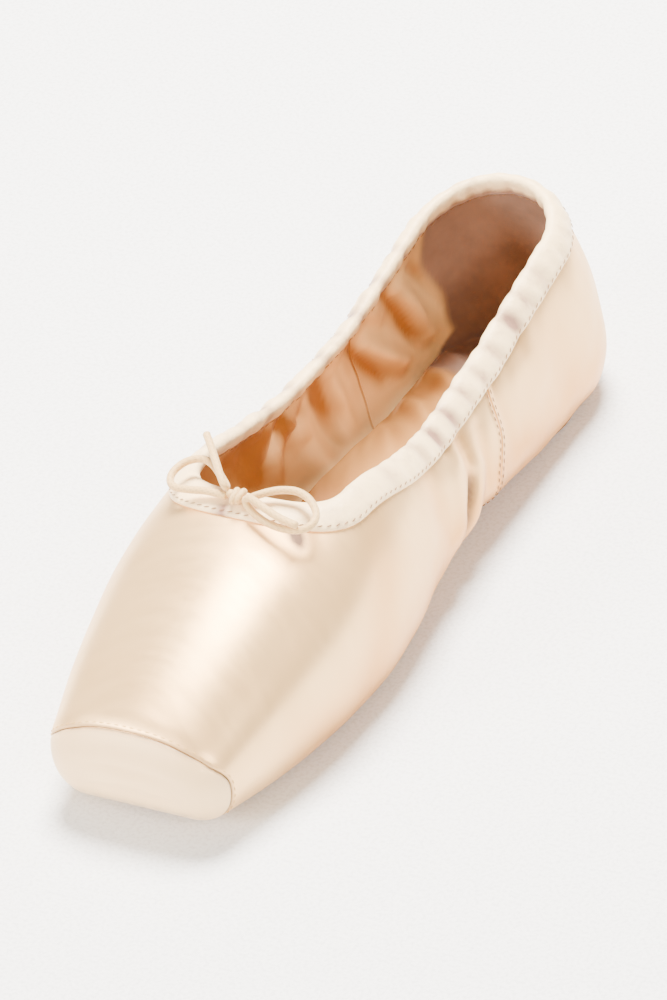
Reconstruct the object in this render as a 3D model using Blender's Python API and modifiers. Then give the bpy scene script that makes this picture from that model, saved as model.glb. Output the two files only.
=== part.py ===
"""A satin pointe shoe: hollow upper, toe piece, drawstring casing and bow, split leather sole.

Metres, +Z up. The toe platform faces -Y, the heel is at +Y, and both soles rest on Z = 0.
A point of the shoe's skin is found from u, which runs from the middle of the toe platform
to the back of the heel, and v, which runs from the middle of the bottom up to the vamp's
ridge or the collar. Each piece is cut from that one skin.
"""
import math

import bmesh
import bpy
import numpy as np
from mathutils import Vector

# Main sizes
LENGTH = 0.237
BALL_WIDTH = 0.078
INSTEP = 0.0565
RISE = 0.007
PLATFORM_ROUND = 0.006
THROAT = 0.0755
THROAT_DEPTH = 0.015
THROAT_POWER = 2.5
HEEL_RADIUS = 0.0300
HEEL_TALL = 0.0600
HEEL_LEAN = 0.009

# Walls and sheets
BOX_WALL = 0.0026
QUARTER_WALL = 0.0017
WALL_FADE = 0.030
TOE_SHEET = 0.0008
STRIP_SHEET = 0.0007
STRIP_HALF_WIDTH = 0.010
INSOLE_SHEET = 0.0015
INSOLE_START = 0.008
SOLE_PROUD = 0.0008
HEEL_PATCH_SHEET = 0.0020
CLEARANCE = 0.0003

# Casing folded over the collar edge
CASING_OUTSIDE = 0.0085
CASING_INSIDE = 0.0065
CASING_SHEET = 0.0008
CASING_GAP = 0.0006

# Soles, measured from the toe platform
SOLE_START = 0.0095
SOLE_END = 0.117
SOLE_START_ROUND = 0.010
SOLE_END_ROUND = 0.028
HEEL_PATCH_LENGTH = 0.050
HEEL_PATCH_WIDTH = 0.046
HEEL_PATCH_INSET = 0.013

# Drawstring
CORD_DIAMETER = 0.0021
KNOT_AHEAD = 0.0035
KNOT_REACH = 0.012
KNOT_RISE = 0.0027
KNOT_SIZE = (0.0028, 0.0027, 0.0021)

# Shape of the rib: shares of v, and the powers of its two rounded corners
ROUNDING = 1e-6
FLAT_SHARE = 0.20
SIDE_SHARE = 0.45
LOW_POWER = 2.0
HIGH_POWER = 2.3

# Sections from toe to heel. along is a share of LENGTH; half, collar and flat are shares of
# BALL_WIDTH; widest and crown, the ridge if the rib were closed, are shares of INSTEP; lift is
# a share of RISE.
SECTION_COLUMNS = ("along", "half", "widest", "crown", "collar", "lift", "flat")
SECTIONS = (
    (0.000, 0.330, 0.280, 0.525, 0.000, 0.62, 0.200),
    (0.051, 0.368, 0.295, 0.630, 0.000, 0.33, 0.230),
    (0.105, 0.410, 0.320, 0.727, 0.000, 0.12, 0.272),
    (0.177, 0.455, 0.340, 0.840, 0.000, 0.00, 0.320),
    (0.245, 0.487, 0.360, 0.930, 0.000, 0.00, 0.353),
    (0.318, 0.500, 0.375, 1.000, 0.000, 0.00, 0.365),
    (0.385, 0.484, 0.375, 1.070, 0.300, 0.10, 0.346),
    (0.477, 0.443, 0.365, 0.996, 0.305, 0.50, 0.282),
    (0.578, 0.413, 0.355, 0.927, 0.282, 0.80, 0.225),
    (0.680, 0.400, 0.335, 0.940, 0.262, 0.40, 0.232),
    (0.762, 0.388, 0.310, 1.030, 0.258, 0.00, 0.262),
    (0.876, 0.384, 0.285, 1.160, 0.258, 0.00, 0.275),
)

# Half width of the front sole: along is a share of LENGTH, half a share of BALL_WIDTH
FRONT_SOLE = (
    (0.040, 0.185),
    (0.110, 0.245),
    (0.250, 0.330),
    (0.330, 0.345),
    (0.400, 0.320),
    (0.494, 0.270),
)

# Seam of the toe piece: v against its distance from the platform, a share of LENGTH
TOE_SEAM = (
    (0.00, 0.030),
    (0.28, 0.031),
    (0.45, 0.031),
    (0.64, 0.019),
    (0.80, 0.016),
    (1.00, 0.016),
)

# Stretches of the grid: body stations are distances from the platform, in shares of LENGTH
BODY_STATIONS = (
    0.105, 0.135, 0.165, 0.200, 0.235, 0.270, 0.297, 0.520, 0.555, 0.595, 0.635,
    0.675, 0.710, 0.735, 0.760, 0.795, 0.840,
)
THROAT_STEPS = (0.0, 0.012, 0.045, 0.11, 0.21, 0.36, 0.60, 1.0)
SOLE_START_STEPS = (0.0, 0.04, 0.15, 0.38, 0.85)
SOLE_END_STEPS = (0.65, 0.42, 0.26, 0.14, 0.06, 0.015, 0.0)
FAN_STEPS = 9
V_LINES = (
    0.00, 0.20, 0.26, 0.32, 0.385, 0.45, 0.51, 0.57, 0.63, 0.69, 0.75, 0.81, 0.87,
    0.92, 0.96, 1.00,
)

# Route of the bow, millimetres from the knot in the tangent plane of the vamp at the
# throat: x to the right, t towards the toe, h above the casing
BOW_RIGHT = (
    (3.6, -0.6, 2.4), (5.6, -1.8, 2.8), (8.0, -3.4, 2.9), (11.2, -5.0, 2.8),
    (15.4, -5.8, 2.4), (19.8, -4.2, 2.0), (23.4, -0.6, 1.6), (24.0, 3.2, 1.6),
    (21.6, 5.8, 1.6), (17.0, 6.6, 1.7), (12.2, 6.0, 1.9), (7.8, 4.4, 2.1),
    (4.8, 2.8, 2.6), (3.7, 1.6, 3.6), (4.8, 1.4, 4.8), (7.6, 2.4, 5.2), (11.6, 4.0, 4.9),
    (16.4, 5.4, 4.3), (21.4, 6.2, 3.9),
)
BOW_LEFT = (
    (-3.6, 0.4, 2.2), (-6.2, 0.2, 2.3), (-10.4, 0.0, 2.0), (-15.2, 0.4, 1.6),
    (-19.6, 0.4, 1.4), (-22.0, -1.6, 1.3), (-22.6, -5.0, 1.2), (-20.8, -8.8, 1.2),
    (-16.8, -10.6, 1.4), (-12.4, -9.0, 1.9), (-8.4, -5.8, 2.4), (-5.2, -3.0, 2.9),
    (-3.8, -1.2, 3.8), (-4.4, -1.4, 5.0), (-6.6, -3.8, 5.8), (-9.8, -7.6, 6.2),
    (-13.2, -11.6, 6.4), (-16.4, -15.2, 6.4),
)

# Colours, linear, with roughness
MATERIALS = {
    "satin": ((0.86, 0.74, 0.62), 0.38),
    "toe_satin": ((0.80, 0.69, 0.58), 0.42),
    "casing_satin": ((0.90, 0.82, 0.72), 0.40),
    "strip_satin": ((0.86, 0.74, 0.62), 0.40),
    "insole_leather": ((0.30, 0.15, 0.08), 0.70),
    "sole_leather": ((0.47, 0.25, 0.13), 0.60),
    "heel_leather": ((0.55, 0.33, 0.19), 0.60),
    "cord_elastic": ((0.80, 0.68, 0.50), 0.65),
}

HEEL = LENGTH - HEEL_RADIUS
HEEL_GROUND = HEEL_PATCH_SHEET + CLEARANCE
Y_SHIFT = -(LENGTH + STRIP_SHEET + CLEARANCE) / 2


def monotone(xs, ys, x):
    """Smooth curve through the rows of a table that never overshoots them."""
    xs = np.asarray(xs, float)
    ys = np.asarray(ys, float)
    step = np.diff(xs)
    rise = np.diff(ys) / step
    slope = np.empty_like(ys)
    slope[0] = rise[0]
    slope[-1] = rise[-1]
    for i in range(1, len(ys) - 1):
        if rise[i - 1] * rise[i] <= 0:
            slope[i] = 0
        else:
            a = 2 * step[i] + step[i - 1]
            b = step[i] + 2 * step[i - 1]
            slope[i] = (a + b) / (a / rise[i - 1] + b / rise[i])
    i = int(np.clip(np.searchsorted(xs, x) - 1, 0, len(step) - 1))
    t = min(max((x - xs[i]) / step[i], 0.0), 1.0)
    keep = (1 + 2 * t) * (1 - t) ** 2 * ys[i] + t * t * (3 - 2 * t) * ys[i + 1]
    lean = t * (1 - t) ** 2 * slope[i] + t * t * (t - 1) * slope[i + 1]
    return float(keep + lean * step[i])


def ease(x):
    """0 below 0, 1 above 1, smooth between."""
    t = min(max(x, 0.0), 1.0)
    return t * t * (3 - 2 * t)


def section(y):
    """Sizes of the rib at distance y from the platform."""
    rows = np.array(SECTIONS)
    unit = {"half": BALL_WIDTH, "collar": BALL_WIDTH, "flat": BALL_WIDTH,
            "widest": INSTEP, "crown": INSTEP, "lift": RISE}
    share = y / LENGTH
    found = {}
    for column, name in enumerate(SECTION_COLUMNS):
        if name != "along":
            found[name] = monotone(rows[:, 0], rows[:, column], share) * unit[name]
    ground = SOLE_PROUD + (HEEL_GROUND - SOLE_PROUD) * ease((y - SOLE_END) / (0.25 * LENGTH))
    found["bottom"] = ground + found["lift"]
    opened = (y - THROAT) / THROAT_DEPTH
    if opened <= ROUNDING:
        found["collar"] = 0.0
    elif opened < 1:
        full = monotone(rows[:, 0], rows[:, 4], (THROAT + THROAT_DEPTH) / LENGTH) * BALL_WIDTH
        found["collar"] = full * (1 - (1 - opened) ** THROAT_POWER) ** (1 / THROAT_POWER)
    return found


def collar_angle(rib):
    """Angle on the rib's upper corner at which the collar cuts it."""
    return math.acos(min(rib["collar"] / rib["half"], 1.0) ** (HIGH_POWER / 2))


def rib_point(rib, v):
    """Half width and height at v on one rib."""
    low = rib["widest"] - rib["bottom"]
    if v <= FLAT_SHARE:
        return rib["flat"] * v / FLAT_SHARE, rib["bottom"]
    if v <= SIDE_SHARE:
        a = math.pi / 2 * (v - FLAT_SHARE) / (SIDE_SHARE - FLAT_SHARE)
        x = rib["flat"] + (rib["half"] - rib["flat"]) * math.sin(a) ** (2 / LOW_POWER)
        return x, rib["widest"] - low * max(math.cos(a), 0.0) ** (2 / LOW_POWER)
    a = collar_angle(rib) * (v - SIDE_SHARE) / (1 - SIDE_SHARE)
    x = rib["half"] * max(math.cos(a), 0.0) ** (2 / HIGH_POWER)
    if rib["collar"] == 0 and v >= 1:
        x = 0.0
    return x, rib["widest"] + (rib["crown"] - rib["widest"]) * math.sin(a) ** (2 / HIGH_POWER)


def body_u(y):
    """u of the rib at distance y, between the platform's rounding and the heel's centre."""
    return 1 + (y - PLATFORM_ROUND) / (HEEL - PLATFORM_ROUND)


def rib_at(u):
    """Sizes of the rib at u, its distance from the platform and its turn about the heel."""
    if u <= 1:
        turn = math.pi / 2 * max(u, 0.0)
        y = PLATFORM_ROUND * (1 - math.cos(turn))
        inset = PLATFORM_ROUND * (1 - math.sin(turn))
        rib = section(y)
        rib["half"] -= inset
        rib["crown"] -= inset
        rib["bottom"] += inset
        return rib, y, 0.0
    if u <= 2:
        y = PLATFORM_ROUND + (HEEL - PLATFORM_ROUND) * (u - 1)
        return section(y), y, 0.0
    turn = math.pi / 2 * (u - 2)
    swing = math.sin(turn)
    rib = section(HEEL)
    collar = HEEL_RADIUS - HEEL_LEAN
    back = math.sin(math.acos((collar / HEEL_RADIUS) ** (HIGH_POWER / 2))) ** (2 / HIGH_POWER)
    ridge = rib["widest"] + (HEEL_TALL - rib["widest"]) / back
    rib["half"] += (HEEL_RADIUS - rib["half"]) * swing ** 2
    rib["collar"] += (collar - rib["collar"]) * swing ** 2
    rib["crown"] += (ridge - rib["crown"]) * swing ** 1.5
    return rib, HEEL, turn


def skin(u, v, closed=False):
    """Point of the shoe's skin on its right side, or of the same ribs without the collar."""
    rib, y, turn = rib_at(u)
    if closed:
        rib["collar"] = 0.0
    x, z = rib_point(rib, v)
    if u < 0:
        middle = (rib["crown"] + rib["bottom"]) / 2
        x *= 1 + u
        z = middle + (z - middle) * (1 + 0.8 * max(u, -0.5))
    return Vector((x * math.cos(turn), y + x * math.sin(turn), z))


def wall(y):
    """Thickness of the upper at distance y: stiff box, soft quarters."""
    fade = ease((y - THROAT + WALL_FADE * 0.7) / WALL_FADE)
    return BOX_WALL + (QUARTER_WALL - BOX_WALL) * fade


def outward(u, v):
    """Unit normal of the skin, pointing out of the shoe."""
    if u < 0:
        return Vector((0, -1, 0))
    if v > SIDE_SHARE:
        v = SIDE_SHARE + (v - SIDE_SHARE) * collar_angle(rib_at(u)[0]) / (math.pi / 2)
    e = 0.002
    u0, u1 = max(u - e, 0.0), min(u + e, 3.0)
    v0, v1 = max(v - e, 0.0), min(v + e, 1.0)
    across = skin(u1, v, True) - skin(u0, v, True)
    up = skin(u, v1, True) - skin(u, v0, True)
    normal = across.cross(up)
    if normal.length < 1e-12:
        return Vector((0, 0, -1))
    if abs(skin(u, v, True).x) < 1e-9:
        normal.x = 0
    normal.normalize()
    if u == 0:
        normal = (normal + Vector((0, -1, 0))).normalized()
    return normal


def on_skin(u, v, offset=0.0):
    """Point at an offset from the skin, outward positive, on the shoe's own axes."""
    return skin(u, v) + outward(u, v) * offset


def placed(point):
    """From the shoe's own axes, with the platform at y = 0, to the scene."""
    return Vector((point.x, point.y + Y_SHIFT, point.z))


def seam_y(v):
    """Distance of the toe piece's seam from the platform, at v."""
    table = np.array(TOE_SEAM)
    return monotone(table[:, 0], table[:, 1], v) * LENGTH


def line_u(y):
    """u of a place between the platform and the heel's centre."""
    if y < PLATFORM_ROUND:
        return math.acos(1 - y / PLATFORM_ROUND) / (math.pi / 2)
    return body_u(y)


def toe_lines(v, end):
    """u of the grid lines between the platform's middle and the seam."""
    seam = seam_y(v) + end
    return [-1.0, -0.5, 0.0] + [line_u(seam * t * t) for t in (0.3, 0.55, 0.8, 1.0)]


def front_sole_half(y, grow=0.0):
    """Half width of the front sole at distance y, with rounded ends, or of a larger outline."""
    table = np.array(FRONT_SOLE)
    full = monotone(table[:, 0], table[:, 1], y / LENGTH) * BALL_WIDTH + grow
    start = min(max((y - SOLE_START + grow) / SOLE_START_ROUND, 0.0), 1.0)
    end = min(max((SOLE_END + grow - y) / SOLE_END_ROUND, 0.0), 1.0)
    if min(start, end) < 1e-6:
        return 0.0
    return full * math.sqrt(1 - (1 - start) ** 2) * math.sqrt(1 - (1 - end) ** 2)


def body_stations(grow=0.0):
    """Distances of the grid lines from behind the toe seam to the heel's centre."""
    start = [SOLE_START - grow + t * SOLE_START_ROUND for t in SOLE_START_STEPS]
    end = [SOLE_END + grow - t * SOLE_END_ROUND for t in SOLE_END_STEPS]
    throat = [THROAT + t * THROAT_DEPTH for t in THROAT_STEPS]
    return sorted(start + end + throat + [share * LENGTH for share in BODY_STATIONS])


def material(name):
    """Principled material in one of the shoe's colours."""
    colour, rough = MATERIALS[name]
    made = bpy.data.materials.new(name)
    made.use_nodes = True
    shader = made.node_tree.nodes["Principled BSDF"]
    shader.inputs["Base Color"].default_value = (*colour, 1)
    shader.inputs["Roughness"].default_value = rough
    made.diffuse_color = (*colour, 1)
    return made


def finish(name, mesh_maker, slot, collection):
    """Turn a bmesh into a named object, mirrored across the shoe's middle."""
    bmesh.ops.remove_doubles(mesh_maker, verts=mesh_maker.verts, dist=1e-6)
    bmesh.ops.dissolve_degenerate(mesh_maker, edges=mesh_maker.edges, dist=1e-6)
    mesh = bpy.data.meshes.new(name)
    for vert in mesh_maker.verts:
        if abs(vert.co.x) < 2e-6:
            vert.co.x = 0
    mesh_maker.to_mesh(mesh)
    mesh_maker.free()
    piece = bpy.data.objects.new(name, mesh)
    collection.objects.link(piece)
    mesh.materials.append(material(slot))
    mirror = piece.modifiers.new("other half", "MIRROR")
    mirror.use_axis[0] = True
    mirror.use_clip = True
    mirror.merge_threshold = 1e-5
    return piece


def sheet(maker, points):
    """Add a grid of points to a bmesh and return its vertices, row by row."""
    rows = [[maker.verts.new(placed(p)) for p in row] for row in points]
    for near, far in zip(rows, rows[1:]):
        for j in range(len(near) - 1):
            maker.faces.new((near[j], far[j], far[j + 1], near[j + 1]))
    return rows


def rim(maker, outer, inner):
    """Close the open edge between two sheets along one line of vertices."""
    for k in range(len(outer) - 1):
        loop = (outer[k], outer[k + 1], inner[k + 1], inner[k])
        on_middle = all(abs(vert.co.x) < 2e-6 for vert in loop)
        if not on_middle:
            maker.faces.new(loop)


def plate(name, outer, inner, slot, collection):
    """Half of a closed plate: two sheets of one grid, joined along every edge off the middle."""
    maker = bmesh.new()
    top = sheet(maker, outer)
    under = sheet(maker, inner)
    rim(maker, top[0], under[0])
    rim(maker, top[-1], under[-1])
    rim(maker, [row[0] for row in top], [row[0] for row in under])
    rim(maker, [row[-1] for row in top], [row[-1] for row in under])
    bmesh.ops.remove_doubles(maker, verts=maker.verts, dist=1e-6)
    bmesh.ops.recalc_face_normals(maker, faces=maker.faces)
    return finish(name, maker, slot, collection)


def opened_point(u, v, offset):
    """Point of the upper, with its bottom opened to the front sole's outline."""
    point = on_skin(u, v, offset)
    if 1 < u < 2 and v < FLAT_SHARE:
        y = rib_at(u)[1]
        half = front_sole_half(y, CLEARANCE)
        flat = section(y)["flat"]
        point.x = half + (flat - half) * v / FLAT_SHARE
    return point


def make_upper(collection):
    """Hollow upper: box, vamp, quarters and heel in one wall."""
    recess = TOE_SHEET + CLEARANCE
    stations = body_stations(CLEARANCE)
    fixed = BODY_STATIONS[0] * LENGTH
    fan = [2 + step / FAN_STEPS for step in range(FAN_STEPS + 1)]
    outer, inner = [], []
    for v in V_LINES:
        toe = toe_lines(v, 0.0)
        seam = seam_y(v) + CLEARANCE / 2
        behind = [seam]
        for y in stations:
            if y < fixed:
                share = (y - seam_y(0) - CLEARANCE / 2) / (fixed - seam_y(0) - CLEARANCE / 2)
                y = seam + (fixed - seam) * share
            behind.append(y)
        rest = [line_u(y) for y in behind] + fan
        outer.append([on_skin(u, v, -recess) for u in toe]
                     + [opened_point(u, v, 0.0) for u in rest])
        inner.append([on_skin(u, v, -BOX_WALL) for u in toe]
                     + [opened_point(u, v, -wall(skin(u, v).y)) for u in rest])
    outer = [list(row) for row in zip(*outer)]
    inner = [list(row) for row in zip(*inner)]
    return plate("upper", outer, inner, "satin", collection)


def make_toe_piece(collection):
    """Satin cover of the platform, let into the upper as far as its seam."""
    rows = [toe_lines(v, -CLEARANCE) for v in V_LINES]
    outer = [[on_skin(row[k], v, 0.0) for v, row in zip(V_LINES, rows)]
             for k in range(len(rows[0]))]
    inner = [[on_skin(row[k], v, -TOE_SHEET) for v, row in zip(V_LINES, rows)]
             for k in range(len(rows[0]))]
    return plate("toe_piece", outer, inner, "toe_satin", collection)


def make_insole(collection):
    """Board inside the shoe, dished a little up the wall."""
    stations = [INSOLE_START] + [y for y in body_stations() if y > INSOLE_START + 0.002]
    fan = [2 + step / FAN_STEPS for step in range(FAN_STEPS + 1)]
    across = (0.0, 0.20, 0.26)
    under, top = [], []
    for u in [body_u(y) for y in stations] + fan:
        lift = wall(skin(u, 0).y) + CLEARANCE
        under.append([on_skin(u, v, -lift) for v in across])
        top.append([on_skin(u, v, -lift - INSOLE_SHEET) for v in across])
    return plate("insole", under, top, "insole_leather", collection)


def make_front_sole(collection):
    """Front sole: fills the opening under the forefoot and stands a little proud."""
    outer, inner = [], []
    for y in body_stations():
        if y < SOLE_START - 1e-6 or y > SOLE_END + 1e-6:
            continue
        u = body_u(y)
        half = front_sole_half(y)
        far = on_skin(u, 0, SOLE_PROUD)
        near = on_skin(u, 0, -wall(y))
        outer.append([Vector((half * t, far.y, far.z)) for t in (0, 1)])
        inner.append([Vector((half * t, near.y, near.z)) for t in (0, 1)])
    return plate("outsole_forefoot", outer, inner, "sole_leather", collection)


def skin_under(x, y):
    """u and v of the skin's bottom at a place in plan."""
    if y <= HEEL:
        u, reach = body_u(y), x
    else:
        u = 2 + math.atan2(y - HEEL, max(x, 1e-9)) / (math.pi / 2)
        reach = math.hypot(x, y - HEEL)
    low, high = 0.0, SIDE_SHARE
    for _ in range(30):
        v = (low + high) / 2
        point = skin(u, v)
        found = point.x if y <= HEEL else math.hypot(point.x, point.y - HEEL)
        if found < reach:
            low = v
        else:
            high = v
    return u, (low + high) / 2


def make_heel_sole(collection):
    """Oval patch under the heel."""
    middle = LENGTH - HEEL_PATCH_INSET - HEEL_PATCH_LENGTH / 2
    outer, inner = [], []
    for step in range(15):
        turn = math.pi * step / 14
        y = middle - HEEL_PATCH_LENGTH / 2 * math.cos(turn)
        half = HEEL_PATCH_WIDTH / 2 * math.sin(turn)
        far, near = [], []
        for share in (0, 0.5, 0.8, 1):
            u, v = skin_under(half * share, y)
            near.append(on_skin(u, v, CLEARANCE))
            far.append(on_skin(u, v, CLEARANCE + HEEL_PATCH_SHEET))
        near[0].x = 0
        far[0].x = 0
        outer.append(far)
        inner.append(near)
    return plate("outsole_heel", outer, inner, "heel_leather", collection)


def v_below_collar(u, depth):
    """v at a distance down the wall from the collar's edge."""
    v = 1.0
    gone = 0.0
    while gone < depth and v > SIDE_SHARE:
        gone += (skin(u, v) - skin(u, v - 0.004)).length
        v -= 0.004
    return v


def make_heel_strip(collection):
    """Strip sewn up the back of the heel, from the patch to the casing."""
    start = 3 - STRIP_HALF_WIDTH / HEEL_RADIUS / (math.pi / 2)
    turns = [start + (3 - start) * t for t in (0, 0.5, 1)]
    outer, inner = [], []
    for u in turns:
        top = v_below_collar(u, CASING_OUTSIDE + 2 * CLEARANCE)
        ups = [v for v in V_LINES if 0.30 < v < top - 0.01] + [top]
        outer.append([on_skin(u, v, CLEARANCE + STRIP_SHEET) for v in ups])
        inner.append([on_skin(u, v, CLEARANCE) for v in ups])
    return plate("heel_strip", outer, inner, "strip_satin", collection)


def nearest_skin(point):
    """u and v of the skin near a point close to the collar."""
    if point.y <= HEEL:
        u = body_u(point.y)
    else:
        u = 2 + math.atan2(point.y - HEEL, max(point.x, 1e-9)) / (math.pi / 2)
    low, high = SIDE_SHARE, 1.0
    for _ in range(24):
        third = (high - low) / 3
        if (skin(u, low + third) - point).length < (skin(u, high - third) - point).length:
            high -= third
        else:
            low += third
    return u, (low + high) / 2


def collar_path():
    """u of the stations round half of the collar, from the throat to the heel's back."""
    open_ribs = [body_u(y) for y in body_stations(CLEARANCE) if y >= THROAT - 1e-9]
    return open_ribs + [2 + step / FAN_STEPS for step in range(FAN_STEPS + 1)]


def casing_profile():
    """Closed outline of the folded casing: depth down the wall, share of the wall's
    thickness inwards, and how far clear of the wall."""
    g, t = CASING_GAP, CASING_SHEET
    out, into = CASING_OUTSIDE, CASING_INSIDE
    return (
        (out, 0, g + 0.5 * t), (0.55 * out, 0, g + t), (0.15 * out, 0, g + t),
        (-g - 0.6 * t, 0, 0.4 * t), (-g - t, 0.5, 0), (-g - 0.6 * t, 1, -0.4 * t),
        (0.15 * into, 1, -g - t), (0.55 * into, 1, -g - t),
        (into, 1, -g - 0.5 * t), (into, 1, -g), (0.5 * into, 1, -g), (0, 1, -g),
        (-g, 0.5, 0), (0, 0, g), (0.5 * out, 0, g), (out, 0, g),
    )


def make_binding(collection):
    """Casing folded over the collar's edge, in one closed ring."""
    path = collar_path()
    rows = []
    for k, u in enumerate(path):
        edge = skin(u, 1.0)
        before = skin(path[max(k - 1, 0)], 1.0)
        after = skin(path[min(k + 1, len(path) - 1)], 1.0)
        if k == 0:
            before = Vector((-after.x, after.y, after.z))
        if k == len(path) - 1:
            after = Vector((-before.x, before.y, before.z))
        along = (after - before).normalized()
        normal = outward(u, 1.0)
        if edge.x < 1e-6:
            normal.x = 0
            normal.normalize()
        down = along.cross(normal).normalized()
        row = []
        for depth, share, clear in casing_profile():
            if depth <= 0:
                point = edge + down * depth + normal * (clear - share * wall(edge.y))
            else:
                near_u, near_v = nearest_skin(edge + down * depth)
                offset = clear - share * wall(skin(near_u, near_v).y)
                point = on_skin(near_u, near_v, offset)
            if edge.x < 1e-6:
                point.x = 0
            row.append(point)
        rows.append(row)
    maker = bmesh.new()
    loops = [[maker.verts.new(placed(p)) for p in row] for row in rows]
    for near, far in zip(loops, loops[1:]):
        for j in range(len(near)):
            after = (j + 1) % len(near)
            maker.faces.new((near[j], far[j], far[after], near[after]))
    bmesh.ops.recalc_face_normals(maker, faces=maker.faces)
    return finish("binding", maker, "casing_satin", collection)


def bow_frame():
    """Knot's place on the casing at the throat, and the tangent plane there."""
    edge = placed(skin(body_u(THROAT), 1.0))
    ahead = placed(skin(body_u(THROAT - KNOT_REACH), 1.0))
    toeward = (ahead - edge).normalized()
    lift = Vector((1, 0, 0)).cross(toeward)
    lift.normalize()
    if lift.z < 0:
        lift.negate()
    rise = CASING_SHEET + CLEARANCE
    return edge + toeward * KNOT_AHEAD + lift * rise, toeward, lift


def smooth_route(points, count):
    """Even points on one smooth curve through a route."""
    pts = [2 * points[0] - points[1]] + list(points) + [2 * points[-1] - points[-2]]
    fine = []
    for a, b, c, d in zip(pts, pts[1:], pts[2:], pts[3:]):
        for k in range(12):
            t = k / 12
            fine.append(0.5 * ((2 * b) + (c - a) * t + (2 * a - 5 * b + 4 * c - d) * t * t
                               + (3 * b - a - 3 * c + d) * t ** 3))
    fine.append(points[-1])
    reach = [0.0]
    for a, b in zip(fine, fine[1:]):
        reach.append(reach[-1] + (b - a).length)
    even = []
    for k in range(count):
        want = reach[-1] * k / (count - 1)
        i = max(1, next(i for i, r in enumerate(reach) if r >= want - 1e-12))
        share = (want - reach[i - 1]) / max(reach[i] - reach[i - 1], 1e-12)
        even.append(fine[i - 1].lerp(fine[i], share))
    return even


def make_cord(name, route, collection):
    """Round cord along one side of the bow."""
    knot, toeward, lift = bow_frame()
    points = [knot + Vector((x, 0, 0)) * 0.001 + toeward * (t * 0.001) + lift * (h * 0.001)
              for x, t, h in route]
    even = smooth_route(points, 40)
    curve = bpy.data.curves.new(name, "CURVE")
    curve.dimensions = "3D"
    curve.bevel_depth = CORD_DIAMETER / 2
    curve.bevel_resolution = 2
    curve.use_fill_caps = True
    spline = curve.splines.new("POLY")
    spline.points.add(len(even) - 1)
    for point, place in zip(spline.points, even):
        point.co = (*place, 1)
    cord = bpy.data.objects.new(name, curve)
    collection.objects.link(cord)
    curve.materials.append(material("cord_elastic"))
    return cord


def make_knot(collection):
    """Tight knot of the drawstring, a plain bead."""
    knot, toeward, lift = bow_frame()
    centre = knot + lift * KNOT_RISE
    bpy.ops.mesh.primitive_uv_sphere_add(segments=16, ring_count=10, radius=1.0)
    bead = bpy.context.object
    bead.name = "drawstring_knot"
    bead.data.name = "drawstring_knot"
    bead.scale = KNOT_SIZE
    bead.rotation_euler = (math.atan2(lift.y, -lift.z) + math.pi, 0, 0)
    bead.location = centre
    for owner in list(bead.users_collection):
        owner.objects.unlink(bead)
    collection.objects.link(bead)
    bead.data.materials.append(material("cord_elastic"))
    return bead


def main():
    for old in list(bpy.data.objects):
        bpy.data.objects.remove(old, do_unlink=True)
    shoe = bpy.data.collections.new("pointe_shoe")
    bpy.context.scene.collection.children.link(shoe)
    make_upper(shoe)
    make_toe_piece(shoe)
    make_insole(shoe)
    make_front_sole(shoe)
    make_heel_sole(shoe)
    make_heel_strip(shoe)
    make_binding(shoe)
    make_cord("drawstring_right", BOW_RIGHT, shoe)
    make_cord("drawstring_left", BOW_LEFT, shoe)
    make_knot(shoe)


main()
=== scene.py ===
"""Looks of a satin pointe shoe: satin upper with its folds, lining, gathered casing,
drawstring bow, seams, stitches and leather soles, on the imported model.

Metres, in the model's own axes: the toe platform faces -Y, the heel is at +Y, Z = 0 is
the floor. A point of the shoe's skin is found from u, which runs from the middle of the
toe platform to the back of the heel, and v, which runs from the middle of the bottom up to
the vamp's ridge or the collar, on the right side and mirrored on the left.
"""

import math

import bpy
import numpy as np
from mathutils import Matrix, Vector


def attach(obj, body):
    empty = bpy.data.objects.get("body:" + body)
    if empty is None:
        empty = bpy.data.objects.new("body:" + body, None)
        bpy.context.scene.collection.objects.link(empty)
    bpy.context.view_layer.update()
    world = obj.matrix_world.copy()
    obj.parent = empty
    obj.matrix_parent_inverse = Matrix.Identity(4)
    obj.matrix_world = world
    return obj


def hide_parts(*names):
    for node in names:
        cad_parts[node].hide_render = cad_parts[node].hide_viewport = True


bl_info = {
    "name": "Pointe Shoe Looks",
    "version": (1, 0, 0),
    "blender": (4, 5, 0),
    "location": "3D View > Sidebar > Pointe Shoe",
    "description": "Satin, lining, stitching, bow and leather soles of a pointe shoe",
    "category": "Object",
}

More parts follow.
